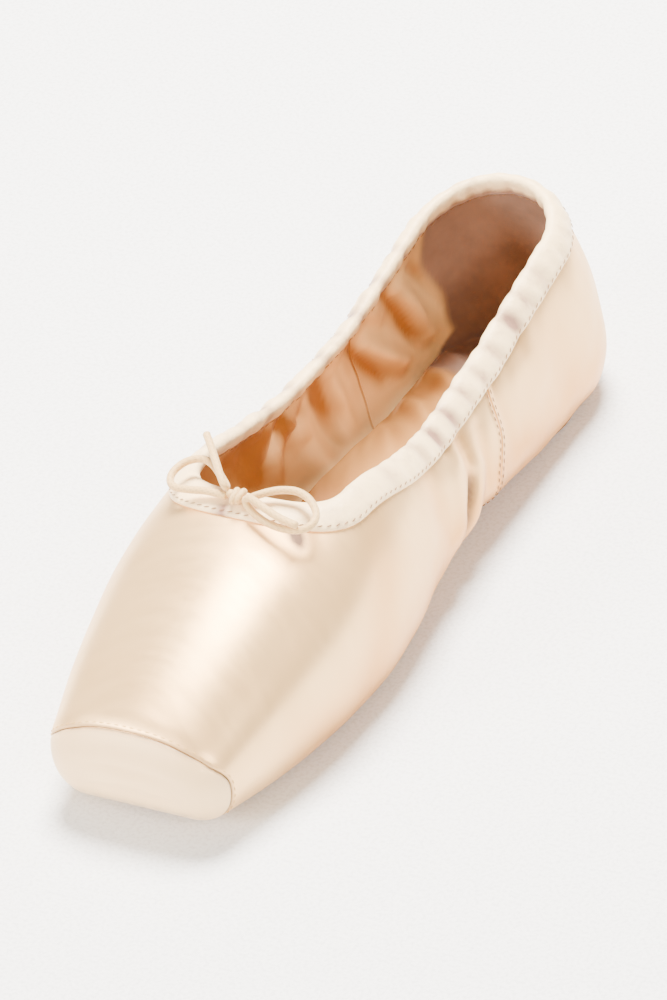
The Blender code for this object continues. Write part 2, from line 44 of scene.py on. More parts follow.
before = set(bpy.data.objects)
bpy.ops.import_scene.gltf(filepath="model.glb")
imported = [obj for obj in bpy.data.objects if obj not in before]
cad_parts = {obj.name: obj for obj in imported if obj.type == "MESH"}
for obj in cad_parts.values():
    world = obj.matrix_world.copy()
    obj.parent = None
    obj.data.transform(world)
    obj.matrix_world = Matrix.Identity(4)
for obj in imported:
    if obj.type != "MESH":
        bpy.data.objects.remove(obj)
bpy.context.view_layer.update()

# Sections from toe to heel, as shares of the length, the ball width, the instep and the rise
SECTIONS = (
    # along, half, widest, crown, collar, lift, flat
    (0.000, 0.330, 0.280, 0.525, 0.000, 0.62, 0.200),
    (0.051, 0.368, 0.295, 0.630, 0.000, 0.33, 0.230),
    (0.105, 0.410, 0.320, 0.727, 0.000, 0.12, 0.272),
    (0.177, 0.455, 0.340, 0.840, 0.000, 0.00, 0.320),
    (0.245, 0.487, 0.360, 0.930, 0.000, 0.00, 0.353),
    (0.318, 0.500, 0.375, 1.000, 0.000, 0.00, 0.365),
    (0.385, 0.484, 0.375, 1.070, 0.300, 0.10, 0.346),
    (0.477, 0.443, 0.365, 0.996, 0.305, 0.50, 0.282),
    (0.578, 0.413, 0.355, 0.927, 0.282, 0.80, 0.225),
    (0.680, 0.400, 0.335, 0.940, 0.262, 0.40, 0.232),
    (0.762, 0.388, 0.310, 1.030, 0.258, 0.00, 0.262),
    (0.876, 0.384, 0.285, 1.160, 0.258, 0.00, 0.275),
)
FRONT_SOLE = (
    # along, half width
    (0.040, 0.185), (0.110, 0.245), (0.250, 0.330),
    (0.330, 0.345), (0.400, 0.320), (0.494, 0.270),
)
TOE_SEAM = (
    # v, share of the length
    (0.00, 0.030), (0.28, 0.031), (0.45, 0.031), (0.64, 0.019), (0.80, 0.016), (1.00, 0.016),
)
SIDE_SEAM = (
    # v, millimetres from the platform
    (0.0, 149.0), (0.2, 148.0), (0.4, 149.0), (0.5, 151.5),
    (0.6, 154.5), (0.75, 156.5), (0.9, 160.5), (1.0, 163.5),
)
LINING_SEAM = (
    # v, millimetres from the platform
    (0.0, 168.0), (0.22, 172.0), (0.4, 178.5), (0.6, 175.0), (1.0, 171.0),
)
FLAT, SIDE = 0.20, 0.45
LOW_POWER, HIGH_POWER, THROAT_POWER = 2.0, 2.3, 2.5
TINY = 1e-12

# How far the satin dips beside the toe seam: distance from it, depth in millimetres
SEAM_DIP = ((0.0, 0.45), (0.0002, 0.22), (0.0005, 0.10), (0.0010, 0.02))

# Folds of the satin, in millimetres from the platform's middle: side (0 for both), width,
# height (below 0 for a trough), then the points it passes
FOLDS = (
    (1, 1.8, -1.9, (31.2, 135.5, 27.5), (32.8, 130.5, 21.5), (32.6, 128.6, 16.0)),
    (1, 3.4, -1.0, (28.5, 139.5, 37.5), (31.2, 135.5, 27.5)),
    (1, 3.6, 1.2, (31.4, 140.5, 27.5), (32.6, 135.5, 20.0), (32.0, 131.5, 12.0)),
    (1, 3.8, 1.1, (30.6, 131.0, 34.0), (33.0, 125.5, 25.0), (33.0, 123.5, 17.0)),
    (1, 2.6, -0.7, (28.5, 147.0, 36.0), (31.0, 145.0, 28.0), (32.0, 141.0, 19.0)),
    (1, 2.8, -0.6, (24.2, 129.9, 44.6), (28.4, 131.6, 38.0)),
    (1, 2.8, -0.7, (26.2, 139.0, 42.0), (29.9, 138.0, 35.0)),
    (1, 3.0, -0.5, (21.7, 179.6, 47.5), (25.6, 178.4, 41.0)),
    (1, 3.0, -0.5, (24.5, 160.0, 43.0), (28.5, 159.6, 33.0), (29.5, 158.0, 20.0)),
    (1, 1.8, -0.12, (14.6, 72.0, 54.8), (17.8, 69.2, 53.4), (20.0, 67.2, 52.4)),
    (1, 8.0, -0.9, (28.0, 92.0, 48.0), (36.0, 78.0, 32.0), (37.0, 66.0, 18.0)),
    (1, 5.0, -0.8, (27.0, 118.0, 44.5), (33.5, 116.0, 26.0)),
    (1, 4.5, -1.2, (33.0, 141.0, 15.0), (25.0, 146.0, 6.0)),
    (1, 8.0, -0.5, (29.5, 190.0, 32.0), (28.5, 197.0, 14.0)),
    (-1, 2.6, -2.0, (-28.6, 143.0, 35.0), (-31.8, 136.0, 24.0), (-32.0, 133.0, 15.0)),
    (-1, 3.6, 1.1, (-29.5, 137.0, 34.0), (-33.0, 129.5, 23.0), (-33.0, 127.0, 14.0)),
    (-1, 3.4, 1.0, (-28.8, 150.0, 34.0), (-31.8, 142.0, 22.0)),
    (-1, 2.2, -1.0, (-25.6, 124.0, 44.6), (-29.4, 124.0, 37.0)),
    (-1, 2.2, -1.0, (-23.4, 151.0, 43.5), (-28.4, 150.0, 36.0)),
    (-1, 2.2, -0.9, (-22.0, 170.0, 46.5), (-27.2, 169.0, 38.0)),
    (-1, 8.0, -0.9, (-28.0, 92.0, 48.0), (-36.0, 78.0, 32.0), (-37.0, 66.0, 18.0)),
    (-1, 4.5, -1.1, (-33.0, 145.0, 15.0), (-25.0, 149.0, 6.0)),
    (0, 3.2, -0.8, (29.5, 104.0, 6.0), (26.0, 122.0, 5.6), (22.0, 140.0, 5.6)),
    (0, 2.6, -0.6, (13.0, 126.0, 4.6), (17.0, 139.0, 5.6), (20.0, 149.0, 5.4)),
    (0, 2.6, -0.5, (24.0, 158.0, 5.6), (17.0, 164.0, 4.6), (12.0, 171.0, 3.8)),
)

# Pinches of the gathered casing: side, millimetres from the platform, half width, depth
PINCHES = (
    (1, 104.0, 2.4, 0.35), (1, 121.0, 2.2, 0.45), (1, 130.0, 2.0, 0.95), (1, 139.5, 2.2, 0.90),
    (1, 149.0, 1.8, 0.60), (1, 158.5, 2.0, 0.50), (1, 168.0, 2.0, 0.55), (1, 179.5, 2.6, 1.00),
    (1, 188.0, 1.8, 0.55), (1, 197.0, 2.0, 0.50), (-1, 96.0, 2.2, 0.30), (-1, 112.0, 2.2, 0.50),
    (-1, 124.0, 2.0, 0.85), (-1, 136.0, 2.2, 0.60), (-1, 151.0, 2.2, 0.85),
    (-1, 161.0, 1.8, 0.55), (-1, 170.0, 2.2, 0.90), (-1, 183.0, 2.0, 0.80), (-1, 195.0, 2.0, 0.60),
)

# Folds of the lining, as those of the satin; height is into the shoe
LINING_FOLDS = (
    (-1, 4.4, 4.8, (-27.0, 199.5, 36.0), (-28.0, 206.0, 26.0),
     (-27.0, 212.0, 14.0), (-24.0, 213.0, 8.0)),
    (-1, 1.8, -1.2, (-26.0, 192.0, 39.0), (-27.5, 199.0, 29.0),
     (-28.3, 204.0, 19.1), (-25.5, 208.0, 9.0)),
    (-1, 1.8, -0.9, (-25.0, 207.0, 38.0), (-26.5, 214.0, 29.0), (-25.7, 219.0, 18.0)),
    (-1, 4.2, 4.8, (-28.0, 181.0, 29.0), (-28.0, 188.5, 21.0),
     (-27.0, 196.5, 13.0), (-24.5, 202.0, 8.0)),
    (-1, 1.8, -1.2, (-27.5, 173.0, 33.0), (-28.2, 179.0, 25.0), (-27.5, 188.0, 11.5)),
    (-1, 3.0, 1.6, (-26.5, 184.0, 40.0), (-28.0, 190.0, 32.0)),
    (-1, 3.6, 2.6, (-28.0, 163.0, 31.0), (-29.0, 167.0, 19.0), (-26.5, 168.0, 11.0)),
    (-1, 3.0, -1.1, (-28.0, 153.5, 36.0), (-29.0, 158.5, 22.0), (-27.0, 160.5, 11.0)),
    (-1, 2.2, 1.5, (-25.5, 161.0, 41.0), (-28.0, 166.0, 34.0)),
    (-1, 1.7, 1.8, (-28.0, 139.0, 34.0), (-29.0, 142.0, 27.0), (-29.0, 142.5, 22.0)),
    (-1, 4.4, 2.4, (-30.0, 146.0, 32.0), (-31.0, 150.0, 18.0), (-27.0, 151.0, 10.0)),
    (-1, 4.4, 1.8, (-29.0, 128.0, 38.0), (-32.0, 132.0, 20.0)),
    (-1, 3.0, -1.0, (-30.0, 118.0, 36.0), (-33.0, 124.0, 22.0)),
    (1, 4.2, 3.0, (26.0, 176.0, 38.0), (28.0, 184.0, 24.0), (26.0, 190.0, 11.0)),
    (1, 2.4, -1.0, (25.0, 168.0, 40.0), (28.0, 177.0, 26.0), (26.0, 182.0, 10.0)),
    (1, 4.2, 2.6, (28.0, 156.0, 35.0), (30.0, 163.0, 20.0), (27.0, 166.0, 11.0)),
    (1, 3.4, -1.0, (29.0, 146.0, 36.0), (30.0, 150.0, 20.0)),
    (1, 4.6, 1.8, (30.0, 128.0, 36.0), (32.0, 132.0, 18.0)),
)

# Painted shade on the satin along its creases: side, width, strength, then the points
SATIN_CREASE_SHADE = (
    (1, 1.9, 2.2, (16.2, 70.8, 54.2), (18.4, 68.8, 53.1), (20.6, 66.8, 52.0)),
    (1, 1.8, 1.5, (31.2, 135.5, 27.5), (32.8, 130.5, 21.5), (32.6, 128.6, 16.0)),
    (1, 1.5, 0.35, (24.2, 129.9, 44.6), (28.4, 131.6, 38.0)),
    (1, 1.5, 0.35, (26.2, 139.0, 42.0), (29.9, 138.0, 35.0)),
    (1, 1.5, 0.30, (21.7, 179.6, 47.5), (24.6, 178.6, 42.0)),
    (-1, 1.7, 1.1, (-28.6, 143.0, 35.0), (-31.8, 136.0, 24.0), (-32.0, 133.0, 15.0)),
)

# Strokes of painted shade on the lining that no fold gives; below 0, painted light
LINING_LIGHT_AND_SHADE = (
    (-1, 3.4, 0.60, (-30, 112, 36), (-29, 132, 34), (-29, 154, 27)),
    (-1, 5.0, 0.40, (-32, 115, 28), (-31, 128, 18), (-25, 146, 10)),
    (-1, 3.6, -0.40, (-26, 215, 30), (-24, 219, 8)),
)

# The same over the insole
FLOOR_LIGHT_AND_SHADE = (
    (-1, 3.2, -0.70, (-23, 139, 10), (-21, 163, 7), (-21, 175, 5)),
    (-1, 4.0, 0.60, (-18, 193, 4), (-14, 205, 4)),
    (-1, 2.2, 0.45, (-23, 186, 5), (-14, 182, 4)),
)

# Folds of the lining over the insole; height is upwards
FLOOR_FOLDS = (
    (-1, 3.4, 2.2, (-25.0, 212.0, 8.0), (-17.0, 210.0, 6.0), (-9.0, 206.0, 5.5)),
    (-1, 3.6, 2.6, (-25.0, 202.0, 8.0), (-17.0, 202.0, 6.0), (-8.0, 197.0, 5.5)),
    (-1, 3.4, 1.9, (-25.0, 189.0, 8.0), (-16.0, 187.0, 6.0), (-7.0, 178.0, 5.5)),
    (-1, 3.8, 2.2, (-24.0, 176.0, 8.0), (-18.0, 171.0, 6.0), (-10.0, 160.0, 5.5)),
    (-1, 3.4, 2.0, (-24.0, 164.0, 8.0), (-20.0, 156.0, 7.0), (-14.0, 142.0, 6.5)),
    (-1, 3.4, 1.8, (-27.0, 150.0, 9.0), (-22.0, 140.0, 8.0), (-16.0, 126.0, 7.5)),
    (1, 3.6, 1.6, (24.0, 190.0, 8.0), (16.0, 184.0, 6.0), (8.0, 176.0, 5.5)),
    (1, 3.6, 1.6, (25.0, 168.0, 8.0), (18.0, 160.0, 6.0), (9.0, 150.0, 5.5)),
)

# Route of the bow in millimetres from the knot, in the tangent plane of the vamp at the
# throat: to the right, towards the toe, above the casing
BOW_RIGHT = (
    (3.6, -0.6, 2.4), (5.6, -1.8, 2.8), (8.0, -3.4, 2.9), (11.2, -5.0, 2.8),
    (15.4, -5.8, 2.4), (19.8, -4.2, 2.0), (23.4, -0.6, 1.6), (24.0, 3.2, 1.6),
    (21.6, 5.8, 1.6), (17.0, 6.6, 1.7), (12.2, 6.0, 1.9), (7.8, 4.4, 2.1),
    (4.8, 2.8, 2.6), (3.7, 1.6, 3.6), (4.8, 1.4, 4.8), (7.6, 2.4, 5.2), (11.6, 4.0, 4.9),
    (16.4, 5.4, 4.3), (21.4, 6.2, 3.9),
)
BOW_LEFT = (
    (-3.6, 0.4, 2.2), (-6.2, 0.2, 2.3), (-10.4, 0.0, 2.0), (-15.2, 0.4, 1.6),
    (-19.6, 0.4, 1.4), (-22.0, -1.6, 1.3), (-22.6, -5.0, 1.2), (-20.8, -8.8, 1.2),
    (-16.8, -10.6, 1.4), (-12.4, -9.0, 1.9), (-8.4, -5.8, 2.4), (-5.2, -3.0, 2.9),
    (-3.8, -1.2, 3.8), (-4.4, -1.4, 5.0), (-6.6, -3.8, 5.8), (-9.8, -7.6, 6.2),
    (-13.2, -11.6, 6.4), (-16.4, -15.2, 6.4),
)


def length_property(label, value, text):
    """A size of the shoe, in metres."""
    return bpy.props.FloatProperty(
        name=label, description=text, default=value, min=0.0, unit="LENGTH", precision=4)


def colour_property(label, value, text):
    """A linear colour of one finish."""
    return bpy.props.FloatVectorProperty(
        name=label, description=text, default=value, size=3, min=0.0, max=1.0, subtype="COLOR")


class PointeShoeSizes(bpy.types.PropertyGroup):
    """Sizes that the pieces are worked out from."""

    length: length_property("Length", 0.237, "From the toe platform to the back of the heel")
    ball_width: length_property("Ball Width", 0.078, "Width at the ball of the foot")
    instep: length_property("Instep", 0.0565, "Height of the vamp at the ball")
    rise: length_property("Rise", 0.007, "Lift of the bottom under the arch and the toe")
    platform_round: length_property("Platform Round", 0.008, "Rounding of the platform's edge")
    throat: length_property("Throat", 0.0755, "From the platform to the throat")
    throat_depth: length_property("Throat Depth", 0.015, "Length of the throat's curve")
    heel_radius: length_property("Heel Radius", 0.030, "Radius of the heel in plan")
    heel_tall: length_property("Heel Height", 0.060, "Height of the heel's back")
    heel_lean: length_property("Heel Lean", 0.009, "How far the heel's back leans in")
    box_wall: length_property("Box Wall", 0.0026, "Wall of the stiff toe box")
    quarter_wall: length_property("Quarter Wall", 0.0017, "Wall of the soft quarters")
    wall_fade: length_property("Wall Fade", 0.030, "Length over which the wall gets thin")
    toe_sheet: length_property("Toe Sheet", 0.0008, "Thickness of the toe piece")
    strip_sheet: length_property("Strip Sheet", 0.0007, "Thickness of the back strip")
    strip_half: length_property("Strip Half Width", 0.010, "Half width of the back strip")
    insole_sheet: length_property("Insole Sheet", 0.0015, "Thickness of the insole")
    sole_proud: length_property("Sole Proud", 0.0008, "How far the front sole stands out")
    sole_start: length_property("Sole Start", 0.0095, "From the platform to the front sole")
    sole_end: length_property("Sole End", 0.117, "From the platform to the sole's end")
    sole_start_round: length_property("Sole Start Round", 0.010, "Rounding of its front end")
    sole_end_round: length_property("Sole End Round", 0.028, "Rounding of its end at the arch")
    patch_sheet: length_property("Patch Sheet", 0.0020, "Thickness of the heel patch")
    patch_length: length_property("Patch Length", 0.050, "Length of the heel patch")
    patch_width: length_property("Patch Width", 0.046, "Width of the heel patch")
    patch_inset: length_property("Patch Inset", 0.013, "From the heel's back to the patch")
    clearance: length_property("Clearance", 0.0003, "Gap between two pieces")
    casing_outside: length_property("Casing Outside", 0.0085, "Casing's width outside")
    casing_inside: length_property("Casing Inside", 0.0065, "Casing's width inside")
    casing_sheet: length_property("Casing Sheet", 0.0008, "Thickness of the casing's satin")
    casing_gap: length_property("Casing Gap", 0.0006, "Gap between the casing and the wall")
    cord_diameter: length_property("Cord Diameter", 0.0021, "Diameter of the drawstring")
    grid: length_property("Grid", 0.0012, "Spacing of the satin's mesh")
    stitch: length_property("Stitch", 0.0017, "Length of a stitch")
    stitch_pitch: length_property("Stitch Pitch", 0.0025, "From one stitch to the next")
    stitch_round: length_property("Stitch Thickness", 0.00032, "Thickness of the thread")
    groove_pitch: length_property("Groove Pitch", 0.0021, "From one sole groove to the next")
    groove_depth: length_property("Groove Depth", 0.00035, "Depth of the sole grooves")


class PointeShoeColours(bpy.types.PropertyGroup):
    """Colours of the finishes."""

    satin: colour_property("Satin", (0.94, 0.62, 0.285), "Satin of the vamp and quarters")
    satin_shade: colour_property("Satin Shade", (0.68, 0.29, 0.06), "Satin in its folds")
    toe_satin: colour_property("Toe Satin", (0.90, 0.61, 0.31), "Satin over the platform")
    casing: colour_property("Casing", (1.0, 0.76, 0.43), "Satin of the casing")
    casing_shade: colour_property("Casing Shade", (0.33, 0.19, 0.135), "Pinched casing")
    lining: colour_property("Lining", (0.97, 0.66, 0.30), "Lining of the quarters")
    heel_lining: colour_property("Heel Lining", (0.285, 0.18, 0.135), "Lining of the heel")
    insole: colour_property("Insole", (0.58, 0.30, 0.09), "Insole")
    sole: colour_property("Sole", (0.42, 0.20, 0.095), "Leather of the front sole")
    patch: colour_property("Heel Patch", (0.54, 0.29, 0.145), "Leather of the heel patch")
    cord: colour_property("Cord", (0.70, 0.45, 0.17), "Elastic drawstring")
    soil: colour_property("Soil", (0.12, 0.07, 0.045), "Creases, seam lines and soiled edges")
    thread: colour_property("Thread", (0.27, 0.15, 0.08), "Thread on the satin")
    sole_thread: colour_property("Sole Thread", (0.07, 0.030, 0.015), "Thread in the leather")
    floor: colour_property("Floor", (0.84, 0.87, 0.91), "Floor")


def sizes():
    return bpy.context.scene.pointe_sizes


def colour(name):
    return tuple(getattr(bpy.context.scene.pointe_colours, name)) + (1.0,)


def dimmed(name, *shares):
    """A colour whose channels are cut, or raised, to shares of themselves."""
    shares = shares if len(shares) == 3 else shares * 3
    return tuple(min(1.0, c * k) for c, k in zip(colour(name), shares)) + (1.0,)


# Skin of the shoe

def smooth_column(rows, column, x):
    """Smooth curve through one column of a table that never overshoots its rows."""
    table = np.asarray([row[:column + 1] for row in rows], float)
    xs, ys = table[:, 0], table[:, column]
    step = np.diff(xs)
    rise = np.diff(ys) / step
    slope = np.zeros(len(ys))
    slope[0], slope[-1] = rise[0], rise[-1]
    for i in range(1, len(ys) - 1):
        if rise[i - 1] * rise[i] > 0:
            a = 2 * step[i] + step[i - 1]
            b = step[i] + 2 * step[i - 1]
            slope[i] = (a + b) / (a / rise[i - 1] + b / rise[i])
    i = np.clip(np.searchsorted(xs, x) - 1, 0, len(step) - 1)
    t = np.clip((x - xs[i]) / step[i], 0.0, 1.0)
    keep = (1 + 2 * t) * (1 - t) ** 2 * ys[i] + t * t * (3 - 2 * t) * ys[i + 1]
    lean = t * (1 - t) ** 2 * slope[i] + t * t * (t - 1) * slope[i + 1]
    return keep + lean * step[i]


def ease(x):
    """0 below 0, 1 above 1, smooth between."""
    t = np.clip(x, 0.0, 1.0)
    return t * t * (3 - 2 * t)


def heel_centre():
    return sizes().length - sizes().heel_radius


def rib(y):
    """Sizes of the rib at distance y from the platform."""
    s = sizes()
    share = y / s.length
    found = {
        "half": smooth_column(SECTIONS, 1, share) * s.ball_width,
        "widest": smooth_column(SECTIONS, 2, share) * s.instep,
        "crown": smooth_column(SECTIONS, 3, share) * s.instep,
        "collar": smooth_column(SECTIONS, 4, share) * s.ball_width,
        "flat": smooth_column(SECTIONS, 6, share) * s.ball_width,
    }
    ground = s.sole_proud + (s.patch_sheet + s.clearance - s.sole_proud) * ease(
        (y - s.sole_end) / (0.25 * s.length))
    found["bottom"] = ground + smooth_column(SECTIONS, 5, share) * s.rise
    opened = np.clip((y - s.throat) / s.throat_depth, 0.0, 1.0)
    full = smooth_column(SECTIONS, 4, (s.throat + s.throat_depth) / s.length) * s.ball_width
    curve = full * (1 - (1 - opened) ** THROAT_POWER) ** (1 / THROAT_POWER)
    found["collar"] = np.where(opened < 1, np.where(opened > 1e-6, curve, 0.0), found["collar"])
    return found


def rib_at(u):
    """Sizes of the rib at u, its distance from the platform and its turn about the heel."""
    s = sizes()
    roll = math.pi / 2 * np.clip(u, 0, 1)
    turn = math.pi / 2 * np.clip(u - 2, 0, 1)
    swing = np.sin(turn)
    along = s.platform_round + (heel_centre() - s.platform_round) * (np.clip(u, 1, 2) - 1)
    y = np.where(u <= 1, s.platform_round * (1 - np.cos(roll)), along)
    inset = s.platform_round * (1 - np.sin(roll))
    found = rib(y)
    found["half"] = found["half"] - inset
    found["crown"] = found["crown"] - inset
    found["bottom"] = found["bottom"] + inset
    collar = s.heel_radius - s.heel_lean
    back = math.sin(math.acos((collar / s.heel_radius) ** (HIGH_POWER / 2))) ** (2 / HIGH_POWER)
    ridge = found["widest"] + (s.heel_tall - found["widest"]) / back
    found["half"] = found["half"] + (s.heel_radius - found["half"]) * swing ** 2
    found["collar"] = found["collar"] + (collar - found["collar"]) * swing ** 2
    found["crown"] = found["crown"] + (ridge - found["crown"]) * swing ** 1.5
    return found, y, turn


def collar_angle(found):
    """Angle on the rib's upper corner at which the collar cuts it."""
    share = np.clip(found["collar"] / found["half"], 0.0, 1.0)
    return np.arccos(share ** (HIGH_POWER / 2))


def skin(u, v, closed=False):
    """Points of the shoe's right skin, or of the same ribs without the collar."""
    u, v = np.broadcast_arrays(np.asarray(u, float), np.asarray(v, float))
    found, y, turn = rib_at(u)
    if closed:
        found["collar"] = np.zeros_like(u)
    low = found["widest"] - found["bottom"]
    a = math.pi / 2 * np.clip((v - FLAT) / (SIDE - FLAT), 0, 1)
    b = collar_angle(found) * np.clip((v - SIDE) / (1 - SIDE), 0, 1)
    corner = found["flat"] + (found["half"] - found["flat"]) * np.sin(a) ** (2 / LOW_POWER)
    upper = found["half"] * np.maximum(np.cos(b), 0) ** (2 / HIGH_POWER)
    x = np.where(v <= FLAT, found["flat"] * v / FLAT, np.where(v <= SIDE, corner, upper))
    x = np.where((found["collar"] == 0) & (v >= 1), 0.0, x)
    cup = found["widest"] - low * np.maximum(np.cos(a), 0) ** (2 / LOW_POWER)
    vault = found["widest"] + (found["crown"] - found["widest"]) * np.sin(b) ** (2 / HIGH_POWER)
    z = np.where(v <= FLAT, found["bottom"], np.where(v <= SIDE, cup, vault))
    middle = (found["crown"] + found["bottom"]) / 2
    front = np.minimum(u, 0.0)
    y = np.where(u < 0, -0.0011 * np.sin(-front * math.pi / 2) ** 1.5, y)
    x = x * (1 + front)
    z = middle + (z - middle) * (1 + 0.95 * front)
    return np.stack([x * np.cos(turn), y + x * np.sin(turn), z], -1)


def unit(vectors):
    size = np.linalg.norm(vectors, axis=-1, keepdims=True)
    return vectors / np.maximum(size, TINY)


def run_length(points, axis=0):
    """Distance travelled along a line of points, or along each line of a grid."""
    steps = np.linalg.norm(np.diff(points, axis=axis), axis=-1)
    start = np.zeros_like(np.take(steps, [0], axis))
    return np.concatenate([start, np.cumsum(steps, axis)], axis)


def outward(u, v):
    """Unit normals of the right skin, pointing out of the shoe."""
    u, v = np.broadcast_arrays(np.asarray(u, float), np.asarray(v, float))
    angle = collar_angle(rib_at(u)[0])
    w = np.where(v > SIDE, SIDE + (v - SIDE) * angle / (math.pi / 2), v)
    e = 0.002
    across = skin(np.minimum(u + e, 3), w, True) - skin(np.maximum(u - e, 0), w, True)
    up = skin(u, np.minimum(w + e, 1), True) - skin(u, np.maximum(w - e, 0), True)
    normal = np.cross(across, up)
    lost = np.linalg.norm(normal, axis=-1) < TINY
    normal[lost] = (0, 0, -1)
    middle = np.abs(skin(u, w, True)[..., 0]) < 1e-9
    normal[..., 0] = np.where(middle, 0.0, normal[..., 0])
    normal = unit(normal)
    normal = np.where((u == 0)[..., None], unit(normal + np.array((0, -1, 0))), normal)
    return np.where((u < 0)[..., None], np.array((0.0, -1.0, 0.0)), normal)


def wall(y):
    """Thickness of the upper at distance y."""
    s = sizes()
    fade = ease((y - s.throat + s.wall_fade * 0.7) / s.wall_fade)
    return s.box_wall + (s.quarter_wall - s.box_wall) * fade


def line_u(y):
    """u of a place between the platform and the heel's centre."""
    s = sizes()
    y = np.asarray(y, float)
    rolled = np.arccos(np.clip(1 - y / s.platform_round, -1, 1)) / (math.pi / 2)
    along = 1 + (y - s.platform_round) / (heel_centre() - s.platform_round)
    return np.where(y < s.platform_round, rolled, along)


def toe_seam(v):
    return smooth_column(TOE_SEAM, 1, v) * sizes().length


def side_seam(v):
    return smooth_column(SIDE_SEAM, 1, v) * 0.001


def lining_seam(v):
    return smooth_column(LINING_SEAM, 1, v) * 0.001


def plan_u(x, y):
    """u of places in plan, round the heel's centre where they lie behind it."""
    heel = heel_centre()
    swing = 2 + np.arctan2(y - heel, np.maximum(x, 1e-9)) / (math.pi / 2)
    return np.where(y > heel, swing, line_u(y))


def patch_middle():
    s = sizes()
    return s.length - s.patch_inset - s.patch_length / 2


def front_sole_half(y, grow=0.0):
    """Half width of the front sole at distance y, or of a larger outline."""
    s = sizes()
    full = smooth_column(FRONT_SOLE, 1, y / s.length) * s.ball_width + grow
    start = np.clip((y - s.sole_start + grow) / s.sole_start_round, 0, 1)
    end = np.clip((s.sole_end + grow - y) / s.sole_end_round, 0, 1)
    half = full * np.sqrt(1 - (1 - start) ** 2) * np.sqrt(1 - (1 - end) ** 2)
    return np.where(np.minimum(start, end) < 1e-6, 0.0, half)


def to_frame(points):
    """From the shoe's own axes, with the platform at y = 0, to the frame."""
    s = sizes()
    shift = (s.length + s.strip_sheet + s.clearance) / 2
    return points - np.array((0.0, shift, 0.0))


def mirrored(points, side):
    return points * np.array((side, 1.0, 1.0))


# Folds

def along_path(points, path):
    """Distance of points to a bent line, and how far along it they are, from 0 to 1."""
    path = np.asarray(path, float) * 0.001
    reach = run_length(path)
    best = np.full(points.shape[:-1], 1e9)
    place = np.zeros(points.shape[:-1])
    for k in range(len(path) - 1):
        leg = path[k + 1] - path[k]
        t = ((points - path[k]) @ leg) / (leg @ leg)
        inside = np.clip(t, 0, 1)
        gap = np.linalg.norm(points - path[k] - inside[..., None] * leg, axis=-1)
        nearer = gap < best
        best = np.where(nearer, gap, best)
        here = (reach[k] + inside * (reach[k + 1] - reach[k])) / reach[-1]
        place = np.where(nearer, here, place)
    return best, place


def fold_height(points, side, table):
    """Height that a table of folds adds at points of one side, in metres."""
    total = np.zeros(points.shape[:-1])
    for fold_side, width, height, *path in table:
        if fold_side not in (0, side):
            continue
        path = np.array(path, float)
        if fold_side == 0:
            path[:, 0] *= side
        gap, place = along_path(points, path)
        taper = 0.55 + 0.45 * np.sin(math.pi * np.clip(place, 0, 1))
        total += height * 0.001 * taper * np.exp(-(gap / (width * 0.001)) ** 2)
    return total


def painted(points, table):
    """Strength of a table of strokes at points of both sides."""
    total = np.zeros(len(points))
    for side in (1, -1):
        here = (points[:, 0] < 0) == (side < 0)
        total[here] = fold_height(points[here], side, table) * 1000
    return total


def pocket_light_and_shade(folds):
    """Strokes along the lining's folds: a painted highlight on the rim, painted shade in the
    pocket, and painted shade along the creases.
    """
    shade_strokes = []
    for side, width, height, *points in folds:
        if height > 1.7:
            rim = [(x, y + 3.0, z) for x, y, z in points]
            pocket = [(x, y - 4.5, z) for x, y, z in points]
            shade_strokes += [(side, 2.4, -0.55, *rim), (side, width, 0.38, *pocket)]
        elif height < -0.8:
            shade_strokes.append((side, 2.6, 0.34, *points))
    return shade_strokes


def cloth_wave(points, side):
    """Soft unevenness of the quarters, none on the stiff box."""
    x, y, z = (points[..., k] * 1000 for k in range(3))
    soft = ease((y - 82) / 30)
    wave = (np.sin(0.19 * y + 0.11 * z + 1.3 * side) * np.sin(0.23 * z - 0.07 * y)
            + 0.6 * np.sin(0.41 * y - 0.17 * z + 0.9 * side) * np.sin(0.31 * z + 0.13 * x))
    return 0.00016 * soft * wave * ease((np.abs(x) - 0.5) / 9)


def gather(y, side):
    """Depth of the casing's pinches at distance y, in metres."""
    total = np.zeros_like(y)
    for pinch_side, place, half, depth in PINCHES:
        if pinch_side == side:
            total += depth * 0.001 * np.exp(-((y * 1000 - place) / half) ** 2)
    return total


def collar_gap(u, v):
    """Distance down the skin from the collar's edge, for grids of u and v."""
    edge = skin(u, np.ones_like(v))
    return np.linalg.norm(skin(u, v) - edge, axis=-1)


def satin_lift(points, side):
    """Height of the folded satin over the skin at points of one side."""
    return fold_height(points, side, FOLDS) + cloth_wave(points, side)


def collar_pinch(edge, side):
    """Depth of the pinches along the collar's edge, none at the throat."""
    return gather(edge[:, 1], side) * (edge[:, 1] > sizes().throat + 0.004)


def toe_shade(y):
    """Darkening of the lining towards the toe, at y in millimetres."""
    return 0.3 * ease((156 - y) / 18) + 0.4 * ease((118 - y) / 40)


def grooves(phase, width):
    """1 along each groove, at whole numbers of phase, and 0 between them."""
    return np.exp(-((phase - np.round(phase)) * sizes().groove_pitch * 1000 / width) ** 2)


def dressed(u, v, side, offset=0.0):
    """Points at an offset from the folded satin, on one side, in the shoe's own axes."""
    points = mirrored(skin(u, v), side)
    normal = mirrored(outward(u, v), side)
    lift = satin_lift(points, side)
    y = points[..., 1]
    below = collar_gap(np.broadcast_to(u, y.shape), np.broadcast_to(v, y.shape))
    s = sizes()
    reach = np.exp(-((below - s.casing_outside) / 0.005) ** 2)
    lift -= 0.16 * gather(y, side) * reach * (y > s.throat)
    shown = ease((y - 0.004) / 0.010)
    return points + normal * (np.asarray(offset) + lift * shown)[..., None], normal


# Meshes

def clear_selection():
    if bpy.context.object and bpy.context.object.mode != "OBJECT":
        bpy.ops.object.mode_set(mode="OBJECT")
    bpy.ops.object.select_all(action="DESELECT")


def named(name):
    piece = bpy.context.object
    piece.name = name
    piece.data.name = name
    return piece


